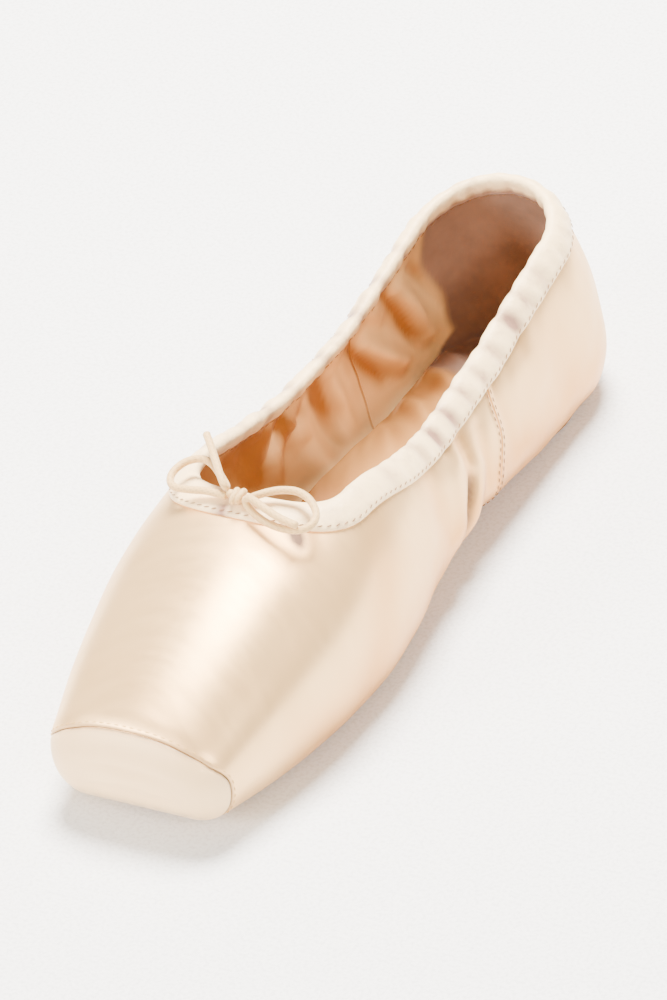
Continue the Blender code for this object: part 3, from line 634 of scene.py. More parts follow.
def place_vertices(piece, points):
    """Move a primitive's vertices to their places in the frame."""
    flat = np.asarray(points, float).reshape(-1, 3)
    if len(flat) != len(piece.data.vertices):
        raise RuntimeError(f"{piece.name}: {len(piece.data.vertices)} vertices, not {len(flat)}")
    piece.data.vertices.foreach_set("co", flat.ravel())
    piece.location = (0, 0, 0)
    piece.rotation_euler = (0, 0, 0)
    piece.scale = (1, 1, 1)
    piece.data.update()


def measured_uv(piece, rows):
    """Lay the piece's UV map out in metres of cloth, from its grid of points."""
    flat = np.stack([run_length(rows, 1), run_length(rows)], -1).reshape(-1, 2)
    layer = piece.data.uv_layers.active or piece.data.uv_layers.new(name="cloth")
    layer.name = "cloth"
    corners = np.empty(len(piece.data.loops), int)
    piece.data.loops.foreach_get("vertex_index", corners)
    layer.data.foreach_set("uv", flat[corners].ravel())


def cloth_grid(name, rows):
    """Grid laid over rows of points, with a UV map in metres."""
    clear_selection()
    bpy.ops.mesh.primitive_grid_add(
        x_subdivisions=rows.shape[1] - 1, y_subdivisions=rows.shape[0] - 1, size=0.1)
    piece = named(name)
    place_vertices(piece, rows)
    measured_uv(piece, rows)
    return piece


def select_only(pieces):
    clear_selection()
    for piece in pieces:
        piece.select_set(True)
    bpy.context.view_layer.objects.active = pieces[0]


def join_and_merge(name, pieces, distance=1e-5):
    """One object of several, with the vertices that meet merged and its normals outwards."""
    select_only(pieces)
    if len(pieces) > 1:
        bpy.ops.object.join()
    bpy.ops.object.mode_set(mode="EDIT")
    bpy.ops.mesh.select_all(action="SELECT")
    bpy.ops.mesh.remove_doubles(threshold=distance)
    bpy.ops.mesh.dissolve_degenerate(threshold=1e-6)
    bpy.ops.mesh.select_all(action="SELECT")
    bpy.ops.mesh.normals_make_consistent(inside=False)
    bpy.ops.object.mode_set(mode="OBJECT")
    return named(name)


def smooth(piece, angle=40):
    select_only([piece])
    bpy.ops.object.shade_smooth_by_angle(angle=math.radians(angle))


def apply_modifier(piece, kind, **settings):
    """Add a modifier to a piece and apply it."""
    select_only([piece])
    modifier = piece.modifiers.new(kind.lower(), kind)
    for key, value in settings.items():
        setattr(modifier, key, value)
    bpy.ops.object.modifier_apply(modifier=modifier.name)


def vertex_array(piece, key="co"):
    """Places of a piece's vertices, or their normals."""
    found = np.empty(len(piece.data.vertices) * 3)
    piece.data.vertices.foreach_get(key, found)
    return found.reshape(-1, 3)


def rib_values(piece):
    """v of each vertex of a sheet laid on the skin."""
    found = np.empty(len(piece.data.vertices))
    piece.data.attributes["rib_line"].data.foreach_get("value", found)
    return found


def turn_faces(piece, upwards):
    """Turn an open sheet's faces up or down."""
    up = sum(face.normal.z * face.area for face in piece.data.polygons)
    if (up > 0) != upwards:
        piece.data.flip_normals()


def to_shoe(points):
    """From the frame to the shoe's own axes."""
    return points - to_frame(np.zeros(3))


def store(piece, name, values):
    """Keep one number a vertex as an attribute for the materials."""
    layer = piece.data.attributes.new(name, "FLOAT", "POINT")
    layer.data.foreach_set("value", np.asarray(values, float).ravel())


def dress(piece, node=None, materials=()):
    """Give a piece its finish and its body, and hide the imported node that it stands for."""
    if materials:
        piece.data.materials.clear()
        for made in materials:
            piece.data.materials.append(made)
    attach(piece, "root")
    if node:
        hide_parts(node)
    return piece


# Materials

class Finish:
    """Builds one material's nodes."""

    def __init__(self, name, rough, **sockets):
        self.material = bpy.data.materials.new(name)
        self.material.use_nodes = True
        self.tree = self.material.node_tree
        self.shader = self.tree.nodes["Principled BSDF"]
        self.shader.inputs["Roughness"].default_value = rough
        for key, value in sockets.items():
            self.shader.inputs[key.replace("_", " ")].default_value = value

    def node(self, kind, inputs=None, **settings):
        made = self.tree.nodes.new(kind)
        for key, value in settings.items():
            setattr(made, key, value)
        for key, value in (inputs or {}).items():
            if isinstance(value, bpy.types.NodeSocket):
                self.tree.links.new(value, made.inputs[key])
            else:
                made.inputs[key].default_value = value
        return made

    def link(self, output, name):
        self.tree.links.new(output, self.shader.inputs[name])

    def place(self):
        return self.node("ShaderNodeTexCoord").outputs["Object"]

    def cloth(self):
        return self.node("ShaderNodeUVMap", uv_map="cloth").outputs["UV"]

    def attribute(self, name):
        return self.node("ShaderNodeAttribute", attribute_name=name).outputs["Fac"]

    def math(self, kind, a, b=0.0, c=0.0):
        return self.node("ShaderNodeMath", {0: a, 1: b, 2: c}, operation=kind).outputs[0]

    def noise(self, at, scale, detail=3.0, rough=0.55, stretch=None):
        if stretch:
            at = self.node("ShaderNodeMapping", {"Vector": at, "Scale": stretch}).outputs[0]
        return self.node("ShaderNodeTexNoise", {
            "Vector": at, "Scale": scale, "Detail": detail, "Roughness": rough}).outputs["Fac"]

    def range(self, value, low, high, to_low=0.0, to_high=1.0, kind="SMOOTHSTEP"):
        return self.node("ShaderNodeMapRange", {
            "Value": value, "From Min": low, "From Max": high, "To Min": to_low,
            "To Max": to_high}, interpolation_type=kind).outputs["Result"]

    def add(self, a, b, share):
        """a and a share of b."""
        return self.math("ADD", a, self.math("MULTIPLY", b, share))

    def mix(self, share, a, b):
        return self.node("ShaderNodeMix", {0: share, 6: a, 7: b}, data_type="RGBA").outputs[2]

    def bump(self, height, strength, distance, before=None):
        inputs = {"Height": height, "Strength": strength, "Distance": distance}
        if before is not None:
            inputs["Normal"] = before
        return self.node("ShaderNodeBump", inputs).outputs["Normal"]

    def woven(self, normal, strength=0.25, distance=0.00009):
        """The material, with the cloth's threads over its other unevenness."""
        self.link(self.bump(thread_height(self), strength, distance, normal), "Normal")
        return self.material


def thread_height(finish):
    """Fine threads across the cloth, uneven as spun silk is."""
    at = finish.cloth()
    fine = finish.noise(at, 3200.0, 1.0, 0.5, stretch=(0.10, 1.0, 1.0))
    slub = finish.noise(at, 900.0, 2.0, 0.5, stretch=(0.08, 1.0, 1.0))
    return finish.add(fine, slub, 0.8)


def satin_finish():
    """Peach satin of the vamp and quarters, with its side seam, and painted shade in its folds,
    under the arch and on its lower sides.
    """
    finish = Finish("peach_satin", 0.36, Metallic=0.60, Sheen_Weight=0.05, Sheen_Roughness=0.35,
                    Anisotropic=0.5, Anisotropic_Rotation=0.25)
    finish.shader.inputs["Sheen Tint"].default_value = (1.0, 0.93, 0.85, 1)
    at = finish.place()
    cloud = finish.range(finish.noise(at, 22.0, 3.0), 0.35, 0.7)
    deep = finish.attribute("deep")
    seam = finish.math("ABSOLUTE", finish.attribute("seam"))
    line = finish.range(seam, 0.00020, 0.00065, 1.0, 0.0)
    # Painted shade: the attribute darkens the satin towards satin_shade, with random clouds and a
    # darker seam line
    shade = finish.add(finish.math("MULTIPLY", cloud, 0.16), deep, 0.75)
    shade = finish.add(shade, line, 0.8)
    base = finish.mix(finish.math("MINIMUM", shade, 1.0), colour("satin"), colour("satin_shade"))
    base = finish.mix(finish.attribute("soil"), base, colour("soil"))
    finish.link(base, "Base Color")
    streaks = finish.noise(finish.cloth(), 260.0, 3.0, stretch=(0.3, 1, 1))
    rough = finish.range(streaks, 0.3, 0.7, 0.33, 0.40)
    dull = finish.math("MAXIMUM", finish.attribute("soil"), finish.attribute("rubbed"))
    finish.link(finish.add(rough, dull, 0.30), "Roughness")
    welt = finish.range(seam, 0.0004, 0.0026, 1.0, 0.0)
    ridge = finish.math("SUBTRACT", finish.math("MULTIPLY", welt, 0.9), line)
    normal = finish.bump(ridge, 0.7, 0.00045)
    normal = finish.bump(finish.noise(at, 75.0, 2.0), 0.06, 0.0012, normal)
    normal = finish.bump(whip_height(finish, at), 0.8, 0.0005, normal)
    along = finish.node("ShaderNodeTangent", direction_type="UV_MAP", uv_map="cloth")
    finish.link(along.outputs["Tangent"], "Tangent")
    return finish.woven(normal, 0.07, 0.00005)


def whip_height(finish, at):
    """Drawn-up cross stitches beside the middle seam under the arch."""
    parts = finish.node("ShaderNodeSeparateXYZ", {"Vector": at}).outputs
    shift = float(to_frame(np.zeros(3))[1])
    away = finish.math("ABSOLUTE", parts["X"])
    beside = finish.range(away, 0.0030, 0.0046, 1.0, 0.0)
    low = finish.range(parts["Z"], 0.010, 0.013, 1.0, 0.0)
    start = finish.range(parts["Y"], shift + 0.116, shift + 0.120)
    end = finish.range(parts["Y"], shift + 0.173, shift + 0.176, 1.0, 0.0)
    where = finish.math("MULTIPLY", finish.math("MULTIPLY", beside, low),
                        finish.math("MULTIPLY", start, end))
    wave = finish.math("SINE", finish.math("MULTIPLY", parts["Y"], 2 * math.pi / 0.0024))
    groove = finish.range(away, 0.0001, 0.0007, -1.6, 0.0)
    return finish.math("MULTIPLY", where, finish.math("ADD", wave, groove))


def lining_finish(name="quarter_lining", tone="lining"):
    """Lining: peach in the quarters, brown round the heel, with painted light and shade over its
    folds and painted shade towards the toe.
    """
    finish = Finish(name, 0.45, Metallic=0.10, Specular_IOR_Level=0.14, Sheen_Weight=0.04,
                    Sheen_Roughness=0.5)
    at = finish.place()
    heel = finish.attribute("heel")
    seam = finish.math("ABSOLUTE", finish.attribute("seam"))
    line = finish.range(seam, 0.0002, 0.0006, 1.0, 0.0)
    cloud = finish.noise(at, 60.0, 4.0)
    # Painted light and shade: the attribute and the darker seam line mix the lining towards a
    # shaded copy of its colour
    shade = finish.math("MINIMUM", finish.add(finish.attribute("deep"), line, 0.5), 1.0)
    peach = finish.mix(shade, colour(tone), dimmed(tone, 0.36, 0.21, 0.08))
    brown = finish.mix(finish.range(cloud, 0.35, 0.7), colour("heel_lining"),
                       dimmed("heel_lining", 0.72))
    finish.link(finish.mix(heel, peach, brown), "Base Color")
    normal = finish.bump(finish.math("MULTIPLY", line, -1.0), 0.8, 0.0004)
    normal = finish.bump(finish.noise(at, 420.0, 3.0), 0.25, 0.00012, normal)
    return finish.woven(normal)


def toe_finish():
    """Duller satin over the platform."""
    finish = Finish("platform_satin", 0.47, Sheen_Weight=0.2, Sheen_Roughness=0.4)
    at = finish.place()
    cloud = finish.range(finish.noise(at, 45.0, 4.0), 0.3, 0.75)
    tone = finish.mix(cloud, colour("toe_satin"), dimmed("toe_satin", 0.90))
    smudge = finish.math("MULTIPLY", finish.attribute("soil"),
                         finish.range(finish.noise(at, 240.0, 4.0), 0.25, 0.65, 0.35, 1.0))
    finish.link(finish.mix(smudge, tone, colour("soil")), "Base Color")
    normal = finish.bump(finish.noise(at, 90.0, 3.0), 0.12, 0.0008)
    return finish.woven(normal)


def casing_finish():
    """Whiter satin of the casing, with random clouds, and painted shade in its pinches, inside
    towards the heel and beside the knot.
    """
    finish = Finish("gathered_satin", 0.44, Specular_IOR_Level=0.35, Sheen_Weight=0.15,
                    Sheen_Roughness=0.4)
    at = finish.place()
    cloud = finish.noise(at, 150.0, 4.0)
    # Painted shade from the attribute, with random clouds
    shade = finish.math("ADD", finish.math("MULTIPLY", finish.attribute("deep"), 1.25),
                        finish.range(cloud, 0.50, 0.78, 0.0, 0.45))
    finish.link(finish.mix(finish.math("MINIMUM", shade, 1.0), colour("casing"),
                           colour("casing_shade")), "Base Color")
    normal = finish.bump(finish.noise(at, 210.0, 4.0, 0.6), 0.55, 0.0010)
    return finish.woven(normal)


def leather_finish(name, tone, rough=0.55):
    """Sole leather: grain, cloudy tan, a darker cut edge, and painted shade in its grooves."""
    finish = Finish(name, rough)
    at = finish.place()
    dark = dimmed(tone, 0.62)
    cloud = finish.range(finish.noise(at, 55.0, 5.0, 0.6), 0.3, 0.72)
    specks = finish.range(finish.noise(at, 950.0, 2.0), 0.55, 0.8, 0.0, 0.35)
    tan = finish.mix(specks, finish.mix(cloud, colour(tone), dimmed(tone, 1.16)), dark)
    finish.link(finish.mix(finish.attribute("deep"), tan, dark), "Base Color")
    cells = finish.node("ShaderNodeTexVoronoi", {"Vector": at, "Scale": 700.0},
                        feature="DISTANCE_TO_EDGE").outputs["Distance"]
    normal = finish.bump(finish.range(cells, 0.0, 0.25), 0.25, 0.00012)
    normal = finish.bump(finish.noise(at, 1600.0, 3.0), 0.2, 0.00008, normal)
    finish.link(normal, "Normal")
    worn = finish.range(finish.noise(at, 120.0, 3.0), 0.3, 0.7, rough - 0.08, rough + 0.1)
    finish.link(worn, "Roughness")
    return finish.material


def cord_finish():
    """Braided elastic cord."""
    finish = Finish("braided_elastic", 0.6, Sheen_Weight=0.3, Sheen_Roughness=0.5)
    at = finish.cloth()
    ribs = []
    for lean in (1.0, -1.0):
        turned = finish.node("ShaderNodeMapping", {
            "Vector": at, "Rotation": (0, 0, lean * 0.55)}).outputs[0]
        wave = {"Vector": turned, "Scale": 330.0, "Distortion": 0.4}
        ribs.append(finish.node("ShaderNodeTexWave", wave, bands_direction="X").outputs["Fac"])
    braid = finish.math("MAXIMUM", ribs[0], ribs[1])
    tone = finish.mix(finish.range(braid, 0.2, 0.9), dimmed("cord", 0.80), colour("cord"))
    finish.link(tone, "Base Color")
    finish.link(finish.bump(braid, 0.28, 0.00012), "Normal")
    return finish.material


def plain_finish(name, tone, rough):
    """Thread, or the floor, with slight unevenness."""
    finish = Finish(name, rough, Specular_IOR_Level=0.1)
    grain = finish.noise(finish.place(), 900.0, 2.0)
    uneven = finish.mix(finish.range(grain, 0.4, 0.7), colour(tone), dimmed(tone, 0.86))
    finish.link(uneven, "Base Color")
    finish.link(finish.bump(grain, 0.2, 0.0001), "Normal")
    return finish.material


# Grids of the upper

def body_rows():
    """Distances of the grid's rows from behind the toe seam to the heel's centre."""
    s = sizes()
    grow = s.clearance
    fixed = [s.sole_start - grow + t * s.sole_start_round
             for t in (0, 0.01, 0.04, 0.09, 0.15, 0.25, 0.38)]
    fixed += [s.sole_end + grow - t * s.sole_end_round
              for t in (0.14, 0.09, 0.06, 0.035, 0.015, 0.005, 0)]
    fixed += [s.throat + t * s.throat_depth
              for t in (0, 0.004, 0.012, 0.025, 0.045, 0.075, 0.11, 0.155, 0.21, 0.28)]
    even = np.arange(s.sole_start, heel_centre() - s.grid * 0.4, s.grid)
    keep = [y for y in even if min(abs(y - f) for f in fixed) > s.grid * 0.35]
    return np.array(sorted(fixed + keep))


def fan_rows():
    s = sizes()
    steps = int(round(s.heel_radius * math.pi / 2 / s.grid))
    return 2 + np.arange(steps + 1) / steps


def rib_lines():
    return np.linspace(0, 1, 101)


def upper_grid():
    """Grids of u, v and offset of the upper's outer sheet, right side."""
    s = sizes()
    v = rib_lines()
    seam = toe_seam(v)
    recess = s.toe_sheet + s.clearance
    rows, offsets = [], []
    for u in (-1.0, -0.75, -0.5, -0.25, 0.0):
        rows.append(np.full_like(v, u))
        offsets.append(np.full_like(v, -recess))
    for t in (0.35, 0.6, 0.8, 0.93, 1.0):
        rows.append(line_u(seam * t * t))
        offsets.append(np.full_like(v, -recess))
    start = seam + 0.2 * s.clearance
    fixed = 0.105 * s.length
    for step, sunk in SEAM_DIP:
        rows.append(line_u(start + step))
        offsets.append(np.full_like(v, -sunk * 0.001))
    for y in body_rows():
        if y < fixed:
            first = toe_seam(0.0) + s.clearance / 2
            place = start + (fixed - start) * (y - first) / (fixed - first)
            place = np.maximum(place, start + 0.0012)
        else:
            place = np.full_like(v, y)
        rows.append(line_u(place))
        offsets.append(np.zeros_like(v))
    for u in fan_rows():
        rows.append(np.full_like(v, u))
        offsets.append(np.zeros_like(v))
    u = np.array(rows)
    return u, np.broadcast_to(v, u.shape), np.array(offsets)


def opened(points, u, v, side):
    """Open the bottom to the front sole's outline."""
    s = sizes()
    found, y, _ = rib_at(u)
    half = front_sole_half(y, s.clearance)
    flat = found["flat"]
    within = (u > 1) & (u < 2) & (v < FLAT)
    points[..., 0] = np.where(within, side * (half + (flat - half) * v / FLAT), points[..., 0])
    return points


def on_middle(points):
    """Put points that all but touch the middle plane on it."""
    points[np.abs(points[..., 0]) < 1e-7, 0] = 0.0
    return points


def sheet_on_skin(name, u, v, offset, side, opening=False):
    """One side of a satin piece as a grid in the frame."""
    points, _ = dressed(u, v, side, offset)
    if opening:
        points = opened(points, u, v, side)
    sheet = cloth_grid(name, to_frame(on_middle(points)))
    store(sheet, "rib_line", np.broadcast_to(v, points.shape[:-1]))
    return sheet


class POINTESHOE_OT_upper(bpy.types.Operator):
    """Satin upper with its folds outside and its lining inside."""

    bl_idname = "pointe_shoe.upper"
    bl_label = "Satin Upper"

    def execute(self, context):
        s = sizes()
        u, v, offset = upper_grid()
        halves = [sheet_on_skin("satin_upper", u, v, offset, side, True) for side in (1, -1)]
        upper = join_and_merge("satin_upper", halves)
        shoe = to_shoe(vertex_array(upper))
        group = upper.vertex_groups.new(name="wall")
        for index, y in enumerate(shoe[:, 1]):
            group.add([index], float(wall(y) / s.box_wall), "REPLACE")
        count = len(shoe)
        upper.data.materials.append(satin_finish())
        upper.data.materials.append(lining_finish())
        apply_modifier(upper, "SOLIDIFY", thickness=s.box_wall, offset=-1.0,
                       vertex_group="wall", material_offset=1, material_offset_rim=1)
        self.shape_lining(upper, count)
        self.paint(upper, count)
        smooth(upper, 50)
        dress(upper, "upper")
        return {"FINISHED"}

    def shape_lining(self, upper, count):
        """Raise the lining's own folds into the shoe."""
        points = vertex_array(upper)
        if len(points) < 2 * count:
            raise RuntimeError("the upper's inner sheet is missing")
        normals = vertex_array(upper, "normal")
        inner = slice(count, 2 * count)
        shoe = to_shoe(points[inner])
        height = painted(shoe, LINING_FOLDS) / 1000
        v = rib_values(upper)[inner]
        shown = ease((shoe[:, 2] - 0.006) / 0.006) * ease((0.90 - v) / 0.18)
        points[inner] += normals[inner] * (height * shown)[:, None]
        upper.data.vertices.foreach_set("co", points.ravel())
        upper.data.update()

    def paint(self, upper, count):
        """Painted shade from the depth of the folds and on the satin's lower sides, painted light
        and shade on the lining, distance from the seams and the heel's lining.
        """
        shoe = to_shoe(vertex_array(upper))
        inner = np.arange(len(shoe)) >= count
        v = rib_values(upper)
        y, z = shoe[:, 1] * 1000, shoe[:, 2] * 1000
        toe_line = toe_seam(v)
        # Painted light and shade on the lining: darker in the hollows of its folds and towards the
        # toe, lighter where it faces up and darker where it faces down, with painted rims and
        # pockets along its folds
        facing = vertex_array(upper, "normal")[:, 2]
        sunk = -0.7 * painted(shoe, LINING_FOLDS)
        strokes = painted(shoe, LINING_LIGHT_AND_SHADE + tuple(pocket_light_and_shade(LINING_FOLDS)))
        lining = (0.22 + 0.55 * np.clip(sunk, -0.4, 1) - 0.7 * np.clip(facing, -0.3, 0.5)
                  + toe_shade(y) + 1.25 * strokes)
        # Painted shade on the satin: in the troughs of its folds, under the arch, towards the
        # bottom of its sides, and a little warm shade over the quarters
        creased = -0.6 * painted(shoe, FOLDS)
        arch = ease((36 - z) / 22) * ease((y - 92) / 30) * ease((185 - y) / 25)
        low = ease((28 - z) / 20) * ease((y - 16) / 30)
        satin = (np.clip(creased, 0, 0.5) + 0.75 * arch + 0.8 * low + 0.16 * ease((y - 95) / 40))
        store(upper, "deep", np.clip(np.where(inner, lining, satin), 0, 1))
        # A dark line along the toe seam, and painted shade along the satin's creases
        front = np.clip(1 - (shoe[:, 1] - toe_line) / 0.0008, 0, 1) * (y < 14) * (v > 0.25)
        soil = np.clip(0.8 * front + painted(shoe, SATIN_CREASE_SHADE), 0, 1)
        store(upper, "soil", np.where(inner, 0, soil))
        store(upper, "seam", shoe[:, 1] - np.where(inner, lining_seam(v), side_seam(v)))
        heel_edge = 211.5 + 7 * ease((38 - z) / 20) - 12 * ease((9 - z) / 6)
        store(upper, "heel", ease((y - heel_edge) / 3.4))
        under_bow = np.linalg.norm(shoe - np.array((0.014, 0.071, 0.054)), axis=1)
        store(upper, "rubbed", np.exp(-(under_bow / 0.015) ** 2))


class POINTESHOE_OT_toe_piece(bpy.types.Operator):
    """Satin cover of the platform, down to its seam."""

    bl_idname = "pointe_shoe.toe_piece"
    bl_label = "Toe Piece"

    def execute(self, context):
        s = sizes()
        v = rib_lines()
        end = toe_seam(v) - 0.4 * s.clearance
        rows = [np.full_like(v, u) for u in np.linspace(-1, 0, 14)]
        rows += [line_u(end * t * t) for t in np.linspace(0.08, 1, 16)[:-1]]
        offsets = [np.zeros_like(v) for _ in rows]
        for step, sunk in reversed(SEAM_DIP):
            rows.append(line_u(np.maximum(end - step, 0)))
            offsets.append(np.full_like(v, -sunk * 0.001))
        order = np.argsort(np.array([row[0] for row in rows]), kind="stable")
        u = np.array(rows)[order]
        offset = np.array(offsets)[order]
        grid_v = np.broadcast_to(v, u.shape)
        halves = [sheet_on_skin("toe_cover", u, grid_v, offset, side) for side in (1, -1)]
        cover = join_and_merge("toe_cover", halves)
        shoe = to_shoe(vertex_array(cover))
        v = rib_values(cover)
        seam = np.clip(1 - (toe_seam(v) - shoe[:, 1]) / 0.0007, 0, 1) * (v > 0.25)
        rim = 0.85 * ease((0.0120 - shoe[:, 2]) / 0.008) * ease((0.005 - shoe[:, 1]) / 0.004)
        store(cover, "soil", np.clip(0.75 * seam + rim, 0, 1))
        apply_modifier(cover, "SOLIDIFY", thickness=s.toe_sheet * 0.7, offset=-1.0)
        smooth(cover, 50)
        dress(cover, "toe_piece", [toe_finish()])
        return {"FINISHED"}


# Casing and drawstring

def nearest_skin(points):
    """u and v of the right skin near points close to the collar."""
    u = plan_u(points[..., 0], points[..., 1])
    low = np.full(u.shape, SIDE)
    high = np.ones(u.shape)
    for _ in range(26):
        third = (high - low) / 3
        near = np.linalg.norm(skin(u, low + third) - points, axis=-1)
        far = np.linalg.norm(skin(u, high - third) - points, axis=-1)
        high = np.where(near < far, high - third, high)
        low = np.where(near < far, low, low + third)
    return u, (low + high) / 2


def collar_frames():
    """Along half of the collar, from the throat to the heel's back: the edge's points, the
    outward normals and the way down the wall."""
    rows = body_rows()
    rows = rows[rows >= sizes().throat - 1e-9]
    u = np.concatenate([line_u(rows), fan_rows()])
    edge = skin(u, np.ones_like(u))
    before = np.concatenate([edge[1:2] * (-1, 1, 1), edge[:-1]])
    after = np.concatenate([edge[1:], edge[-2:-1] * (-1, 1, 1)])
    along = unit(after - before)
    normal = outward(u, np.ones_like(u))
    normal[np.abs(edge[:, 0]) < 1e-6, 0] = 0
    normal = unit(normal)
    return edge, normal, unit(np.cross(along, normal))


def casing_profile():
    """Outline of the folded casing: depth down the wall, share of the wall's thickness
    inwards, how far clear of the wall, and how much a pinch pulls it in."""
    s = sizes()
    g, t = s.casing_gap, s.casing_sheet
    out, into = s.casing_outside, s.casing_inside
    return (
        (1.00 * out, 0, 0.1 * g + 0.2 * t, 0.1), (0.93 * out, 0, g + 0.55 * t, 0.3),
        (0.72 * out, 0, g + 1.15 * t, 0.8), (0.42 * out, 0, g + 1.3 * t, 1.0),
        (0.12 * out, 0, g + 1.1 * t, 0.8), (-g - 0.6 * t, 0, 0.5 * t, 0.5),
        (-g - t, 0.5, 0, 0.5), (-g - 0.6 * t, 1, -0.5 * t, 0.5), (0.15 * into, 1, -g - t, 0.7),
        (0.55 * into, 1, -g - 1.1 * t, 0.6), (0.92 * into, 1, -g - 0.6 * t, 0.2),
        (into, 1, -0.2 * g, 0.0), (0.5 * into, 1, -0.3 * g, 0.0), (0.0, 1, -g, 0.0),
        (-0.4 * g, 0.5, 0, 0.0), (0.0, 0, g, 0.0), (0.5 * out, 0, 0.3 * g, 0.0),
        (0.9 * out, 0, 0.0, 0.0),
    )


def closed_grid(right, left):
    """Both sides' grids as one that closes on itself both ways."""
    rows = np.concatenate([right, left[-2:0:-1]])
    rows = np.concatenate([rows, rows[:1]])
    return np.concatenate([rows, rows[:, :1]], 1)


def collar_ripple(reach, y, side):
    """Small unevenness of the gathered casing along its length."""
    mm = reach * 1000
    soft = 0.30 + 0.70 * ease((y * 1000 - 95) / 25)
    wave = (np.sin(mm * 1.18 + 1.7 * np.sin(mm * 0.09) + side)
            + 0.7 * np.sin(mm * 0.71 + 2.1 * np.sin(mm * 0.06 + 2 * side)))
    return 0.00022 * soft * wave


class POINTESHOE_OT_casing(bpy.types.Operator):
    """Gathered casing folded over the collar's edge."""

    bl_idname = "pointe_shoe.casing"
    bl_label = "Casing"

    def execute(self, context):
        rows, deep = (closed_grid(right, left)
                      for right, left in zip(self.side_grids(1), self.side_grids(-1)))
        casing = cloth_grid("gathered_casing", to_frame(rows))
        store(casing, "deep", deep)
        casing = join_and_merge("gathered_casing", [casing])
        apply_modifier(casing, "SUBSURF", levels=1, render_levels=1)
        smooth(casing, 80)
        dress(casing, "binding", [casing_finish()])
        return {"FINISHED"}

    @staticmethod
    def side_grids(side):
        """Points of the casing on one side, and the painted shade at each of them."""
        out = sizes().casing_outside
        edge, normal, down = collar_frames()
        y, reach = edge[:, 1], run_length(edge)
        pinch = collar_pinch(edge, side)
        ripple = collar_ripple(reach, y, side)
        # Painted shade on the casing's inner face towards the heel
        tan = 0.7 * ease((y - 0.150) / 0.05)
        # Painted shadow of the gap where the cord leaves the casing beside the knot, on the left
        knot_gap_shadow = 0.9 * np.exp(-((reach - 0.0040) / 0.0016) ** 2) * (side < 0)
        points, shades = [], []
        for depth, share, clear, pull in casing_profile():
            outside = share == 0
            if depth <= 0:
                sag = pull * (ripple - 0.9 * pinch)
                offset = clear - share * wall(y)
                point = edge + down * (depth - sag)[:, None] + normal * offset[:, None]
                point = mirrored(point, side)
            else:
                u, v = nearest_skin(edge + down * depth)
                at = skin(u, v)
                folded = satin_lift(mirrored(at, side), side)
                if outside:
                    lift = (pull * (ripple - pinch) + 0.8 * folded
                            - 0.16 * pinch * (depth / out) ** 2)
                else:
                    lift = pull * (pinch - 1.8 * ripple) + 0.4 * folded
                offset = clear - share * wall(at[:, 1]) + lift
                point = mirrored(at + outward(u, v) * offset[:, None], side)
                point[np.abs(edge[:, 0]) < 1e-6, 0] = 0
            # Painted shade in the pinches, most where the casing is pulled in
            shade = max(pull, 0.6 * share) * pinch * 1000
            if share == 1 and depth > 0.001:
                shade = shade + tan
            if outside and depth > 0.5 * out:
                shade = shade + knot_gap_shadow
            points.append(point)
            shades.append(np.clip(shade, 0, 1))
        return np.stack(points, 1), np.stack(shades, 1)


def bow_frame():
    """Knot's place on the casing at the throat, and the tangent plane there."""
    s = sizes()
    edge = to_frame(skin(line_u(s.throat), 1.0))
    ahead = to_frame(skin(line_u(s.throat - 0.012), 1.0))
    toeward = Vector(ahead - edge).normalized()
    lift = Vector((1, 0, 0)).cross(toeward).normalized()
    if lift.z < 0:
        lift.negate()
    return Vector(edge) + toeward * 0.0035 + lift * (s.casing_sheet + s.clearance), toeward, lift


def smooth_route(points, count):
    """Even points on one smooth curve through a route."""
    pts = [2 * points[0] - points[1]] + list(points) + [2 * points[-1] - points[-2]]
    fine = []
    for a, b, c, d in zip(pts, pts[1:], pts[2:], pts[3:]):
        for k in range(12):
            t = k / 12
            fine.append(0.5 * ((2 * b) + (c - a) * t + (2 * a - 5 * b + 4 * c - d) * t * t
                               + (3 * b - a - 3 * c + d) * t ** 3))
    fine.append(points[-1])
    fine = np.array(fine)
    reach = run_length(fine)
    want = np.linspace(0, reach[-1], count)
    return np.stack([np.interp(want, reach, fine[:, k]) for k in range(3)], -1)


def cord_tube(name, centres, radius, sides=18, closed=False):
    """Round cord along a line of points, with a UV map in metres and rounded ends."""
    count = len(centres)
    if closed:
        ahead = unit(np.roll(centres, -1, 0) - np.roll(centres, 1, 0))
    else:
        ahead = unit(np.gradient(centres, axis=0))
    side = unit(np.cross(ahead[0], (0.3, 0.5, 0.9)))
    rings = []
    turn = 2 * math.pi * np.arange(sides)[:, None] / sides
    for k in range(count):
        side = unit(side - ahead[k] * (side @ ahead[k]))
        other = np.cross(ahead[k], side)
        rings.append(centres[k] + radius * (np.cos(turn) * side + np.sin(turn) * other))
    rings = np.array(rings)
    if closed:
        clear_selection()
        bpy.ops.mesh.primitive_torus_add(major_segments=count, minor_segments=sides,
                                         major_radius=0.01, minor_radius=0.002)
        cord = named(name)
        place_vertices(cord, rings)
        measured_uv(cord, rings)
        return cord
    first = centres[0] + (rings[0] - centres[0]) * 0.72 - ahead[0] * radius * 0.28
    last = centres[-1] + (rings[-1] - centres[-1]) * 0.72 + ahead[-1] * radius * 0.28
    rows = np.concatenate([first[None], rings, last[None]])
    rows = np.concatenate([rows, rows[:, :1]], 1)
    cord = cloth_grid(name, rows)
    select_only([cord])
    bpy.ops.object.mode_set(mode="EDIT")
    bpy.ops.mesh.select_all(action="SELECT")
    bpy.ops.mesh.remove_doubles(threshold=1e-6)
    bpy.ops.mesh.fill_holes(sides=0)
    bpy.ops.mesh.select_all(action="SELECT")
    bpy.ops.mesh.normals_make_consistent(inside=False)
    bpy.ops.object.mode_set(mode="OBJECT")
    return cord


